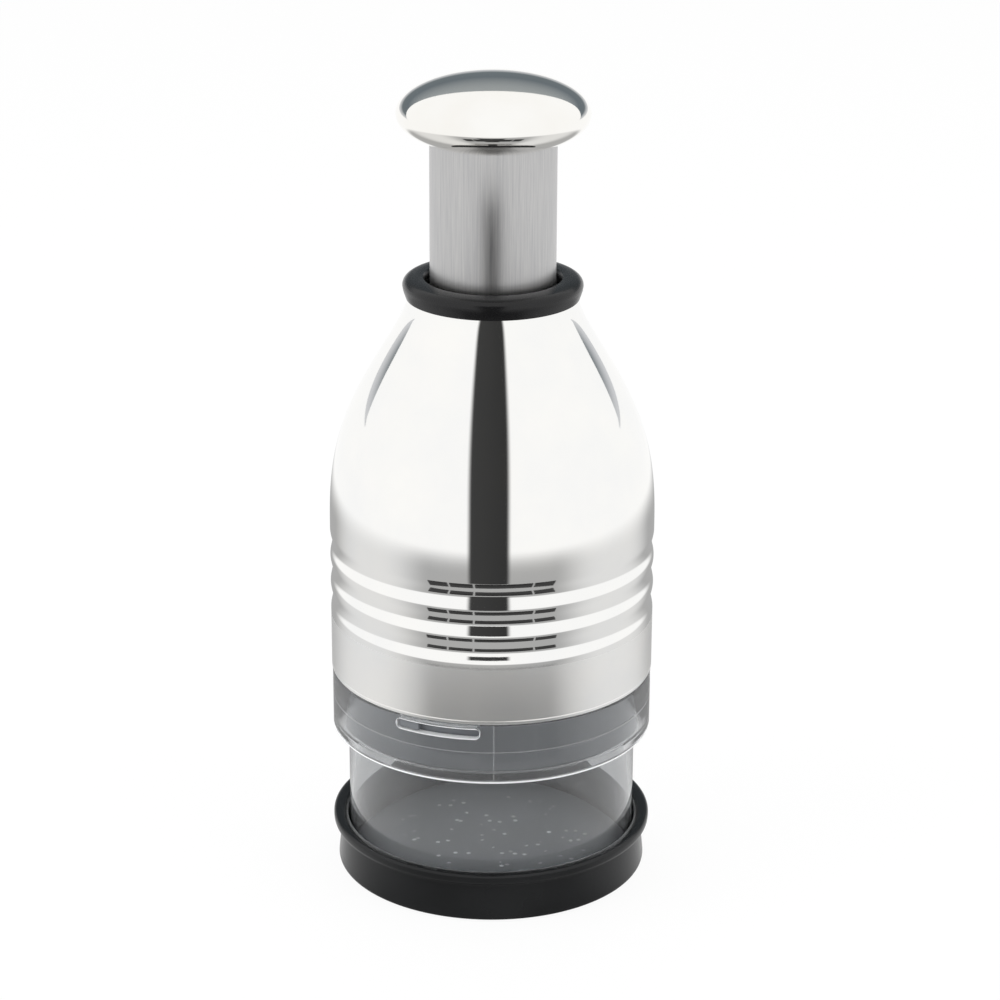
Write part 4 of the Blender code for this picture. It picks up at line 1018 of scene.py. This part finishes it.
def sweep_material():
    """White paper. The camera sees it nearly white, and mirrors see it greyer near the object."""
    material, tree = fresh_tree("white_sweep")
    place = add_node(tree, "ShaderNodeTexCoord").outputs["Object"]
    axes = add_node(tree, "ShaderNodeSeparateXYZ", {"Vector": place})
    radius = add_node(tree, "ShaderNodeVectorMath", {0: place}, operation="LENGTH").outputs["Value"]
    sideways = maths(tree, "DIVIDE", maths(tree, "ABSOLUTE", axes.outputs["X"]), radius)
    near = maths(tree, "ADD", FLOOR_GREY, soft_step(tree, sideways, 0.65, 1.0, 0.0, SIDE_LIGHT))
    white = soft_step(tree, radius, GREY_END, WHITE_START, 0.0, 1.0)
    mirrored = maths(tree, "ADD", maths(tree, "MULTIPLY", near, maths(
        tree, "SUBTRACT", 1.0, white)), white)
    path = add_node(tree, "ShaderNodeLightPath")
    in_mirror = path.outputs["Is Glossy Ray"]
    level = add_node(
        tree, "ShaderNodeMix", {0: in_mirror, 3: mirrored}, data_type="FLOAT")
    level.inputs[2].default_value = 1.0
    seen = maths(tree, "MAXIMUM", path.outputs["Is Camera Ray"], maths(
        tree, "MAXIMUM", in_mirror, path.outputs["Is Transmission Ray"]))
    cover = maths(tree, "ADD", 0.93, maths(tree, "MULTIPLY", in_mirror, 0.07))
    share = maths(tree, "MULTIPLY", seen, cover)
    paper = add_node(tree, "ShaderNodeBsdfDiffuse", Color=grey(0.8))
    light = add_node(tree, "ShaderNodeEmission", {"Strength": level.outputs[0]}, Color=grey(1.0))
    mixed = add_node(
        tree, "ShaderNodeMixShader", {0: share, 1: paper.outputs[0], 2: light.outputs[0]})
    add_node(tree, "ShaderNodeOutputMaterial", {"Surface": mixed.outputs[0]})
    return material


def make_world():
    world = bpy.data.worlds.new("studio")
    bpy.context.scene.world = world
    world.use_nodes = True
    tree = world.node_tree
    tree.nodes.clear()
    path = add_node(tree, "ShaderNodeLightPath")
    lit = maths(tree, "MULTIPLY", path.outputs["Is Diffuse Ray"], 0.25)
    strength = maths(tree, "SUBTRACT", 1.0, lit)
    light = add_node(tree, "ShaderNodeBackground", {"Strength": strength}, Color=grey(1.0))
    add_node(tree, "ShaderNodeOutputWorld", {"Surface": light.outputs[0]})


make_world()
bpy.context.scene.view_settings.view_transform = "Standard"
print("studio materials made")

# %% Floor, cards and lamps
FLOOR_RADIUS = 6.0
STRIP_HALF = 15 * MM
STRIP_ASIDE = -2.2 * MM
STRIP_FOOT = 78 * MM
STRIP_BEND = 104 * MM     # upright below this height, and leaning in over the shoulder above it
STRIP_TOP = 186 * MM
STRIP_OUT = 83 * MM
STRIP_LEAN = 28 * MM
STRIP_POWER = 1.8
STRIP_LEVEL = 0.042
PATCH_NEAR = 136 * MM
PATCH_FAR = 225 * MM
PATCH_HALF = 43.0
POST_TURNS = (-28.3, -11.5, 27.6)
BACK_DISTANCE = 1.6
BACK_TOP = 42.5
BACK_HALF = 62.0


def stage_piece(name, mesh, material, reflections_only):
    piece = bpy.data.objects.new(name, mesh)
    mesh.materials.append(material)
    bpy.context.scene.collection.objects.link(piece)
    if reflections_only:
        piece.visible_camera = False
        piece.visible_diffuse = False
        piece.visible_shadow = False
        piece.visible_transmission = False
    return piece


def make_floor():
    shape = bmesh.new()
    bmesh.ops.create_circle(shape, cap_ends=True, segments=96, radius=FLOOR_RADIUS)
    mesh = bpy.data.meshes.new("floor")
    shape.to_mesh(mesh)
    shape.free()
    return stage_piece("floor", mesh, sweep_material(), False)


def bent_card(name, where, columns=24, rows=12):
    """A grid bent to shape: where gives the place of each point from its two shares, 0 to 1."""
    shape = bmesh.new()
    bmesh.ops.create_grid(shape, x_segments=columns, y_segments=rows, size=0.5)
    for point in shape.verts:
        point.co = where(point.co.x + 0.5, point.co.y + 0.5)
    mesh = bpy.data.meshes.new(name)
    shape.to_mesh(mesh)
    shape.free()
    return mesh


def around(turn, distance, height):
    """A place by its angle round the object: 0 is towards the camera, and + is to the right."""
    angle = math.radians(turn)
    return (distance * math.sin(angle), -distance * math.cos(angle), height)


def card_material(name, make_level, make_cover=None):
    """An unlit card. make_level gives its brightness, and make_cover how solid it is."""
    material, tree = fresh_tree(name)
    place = add_node(tree, "ShaderNodeTexCoord").outputs["Object"]
    axes = add_node(tree, "ShaderNodeSeparateXYZ", {"Vector": place})
    across, along, height = (axes.outputs[axis] for axis in "XYZ")
    light = add_node(tree, "ShaderNodeEmission", Color=grey(1.0))
    tree.links.new(make_level(tree, across, along, height), light.inputs["Color"])
    surface = light.outputs[0]
    if make_cover:
        clear = add_node(tree, "ShaderNodeBsdfTransparent")
        surface = add_node(
            tree, "ShaderNodeMixShader",
            {0: make_cover(tree, across, along, height), 1: clear.outputs[0], 2: surface}).outputs[0]
    add_node(tree, "ShaderNodeOutputMaterial", {"Surface": surface})
    return material


def front_strip():
    """The dark upright stripe, bent to follow the shoulder of the shell."""
    def where(across, up):
        height = STRIP_FOOT + (STRIP_TOP - STRIP_FOOT) * up
        bend = max(0.0, (height - STRIP_BEND) / (STRIP_TOP - STRIP_BEND))
        along = STRIP_LEAN * bend ** STRIP_POWER - STRIP_OUT
        return ((2 * across - 1) * 1.3 * STRIP_HALF + STRIP_ASIDE, along, height)

    def level(tree, across, along, height):
        return ramp(tree, soft_step(tree, across, -STRIP_HALF, STRIP_HALF, 0.0, 1.0), [
            (0.0, grey(STRIP_LEVEL * 1.1)), (1.0, grey(STRIP_LEVEL * 0.85))])

    def cover(tree, across, along, height):
        aside = maths(tree, "ABSOLUTE", maths(tree, "SUBTRACT", across, STRIP_ASIDE))
        return soft_step(tree, aside, STRIP_HALF * 0.85, STRIP_HALF * 1.15, 1.0, 0.0)

    mesh = bent_card("front_strip", where, 24, 28)
    return stage_piece("front_strip", mesh, card_material("dark_strip", level, cover), True)


def floor_patch(name, first, last):
    """A dark patch on the floor in front, between two angles."""
    def where(across, out):
        return around(first + (last - first) * across, PATCH_NEAR + (PATCH_FAR - PATCH_NEAR) * out, 1 * MM)

    def level(tree, across, along, height):
        return ramp(tree, soft_step(tree, along, -PATCH_FAR, -PATCH_NEAR, 0.0, 1.0), [
            (0.0, grey(0.02)), (1.0, grey(0.05))])

    return stage_piece(name, bent_card(name, where), card_material("dark_floor_patch", level), True)


def backdrop():
    """The dark wall behind the object. It is highest in the middle, and darkest halfway up."""
    def where(across, up):
        turn = (2 * across - 1) * BACK_HALF
        top = BACK_TOP * (1 - (turn / BACK_HALF) ** 2)
        rise = math.radians(2 + max(top - 2, 0.5) * up)
        x, y, z = around(180 + turn, BACK_DISTANCE * math.cos(rise), BACK_DISTANCE * math.sin(rise))
        return (x, y, z + 212 * MM)

    def level(tree, across, along, height):
        rise = soft_step(tree, height, 212 * MM, 212 * MM + BACK_DISTANCE * 0.68, 0.0, 1.0)
        return ramp(tree, rise, [
            (0.02, (0.62, 0.63, 0.65, 1)), (0.16, (0.15, 0.175, 0.19, 1)),
            (0.5, (0.14, 0.165, 0.185, 1)), (1.0, (0.33, 0.355, 0.37, 1))])

    mesh = bent_card("backdrop", where, 48, 12)
    return stage_piece("backdrop", mesh, card_material("dark_backdrop", level), True)


def soft_box(name, azimuth, elevation, distance, width, height, power):
    data = bpy.data.lights.new(name, "AREA")
    data.shape = "RECTANGLE"
    data.size = width
    data.size_y = height
    data.energy = power
    lamp = bpy.data.objects.new(name, data)
    bpy.context.scene.collection.objects.link(lamp)
    rise = math.radians(elevation)
    away = Vector(around(azimuth, math.cos(rise), math.sin(rise)))
    lamp.location = away * distance + Vector((0, 0, TARGET_HEIGHT))
    lamp.rotation_euler = away.to_track_quat("Z", "Y").to_euler()
    lamp.visible_glossy = False
    return lamp


make_floor()
front_strip()
edges = (-PATCH_HALF, *POST_TURNS, PATCH_HALF)
for index, (first, last) in enumerate(zip(edges, edges[1:])):
    floor_patch(f"floor_patch_{index + 1}", first + 0.6, last - 0.6)
backdrop()
soft_box("left_box", -70, 25, 1.4, 1.0, 1.6, 14)
soft_box("right_box", 65, 25, 1.4, 1.0, 1.6, 10)
soft_box("top_box", 180, 70, 1.6, 1.4, 1.0, 10)
print("studio ready")
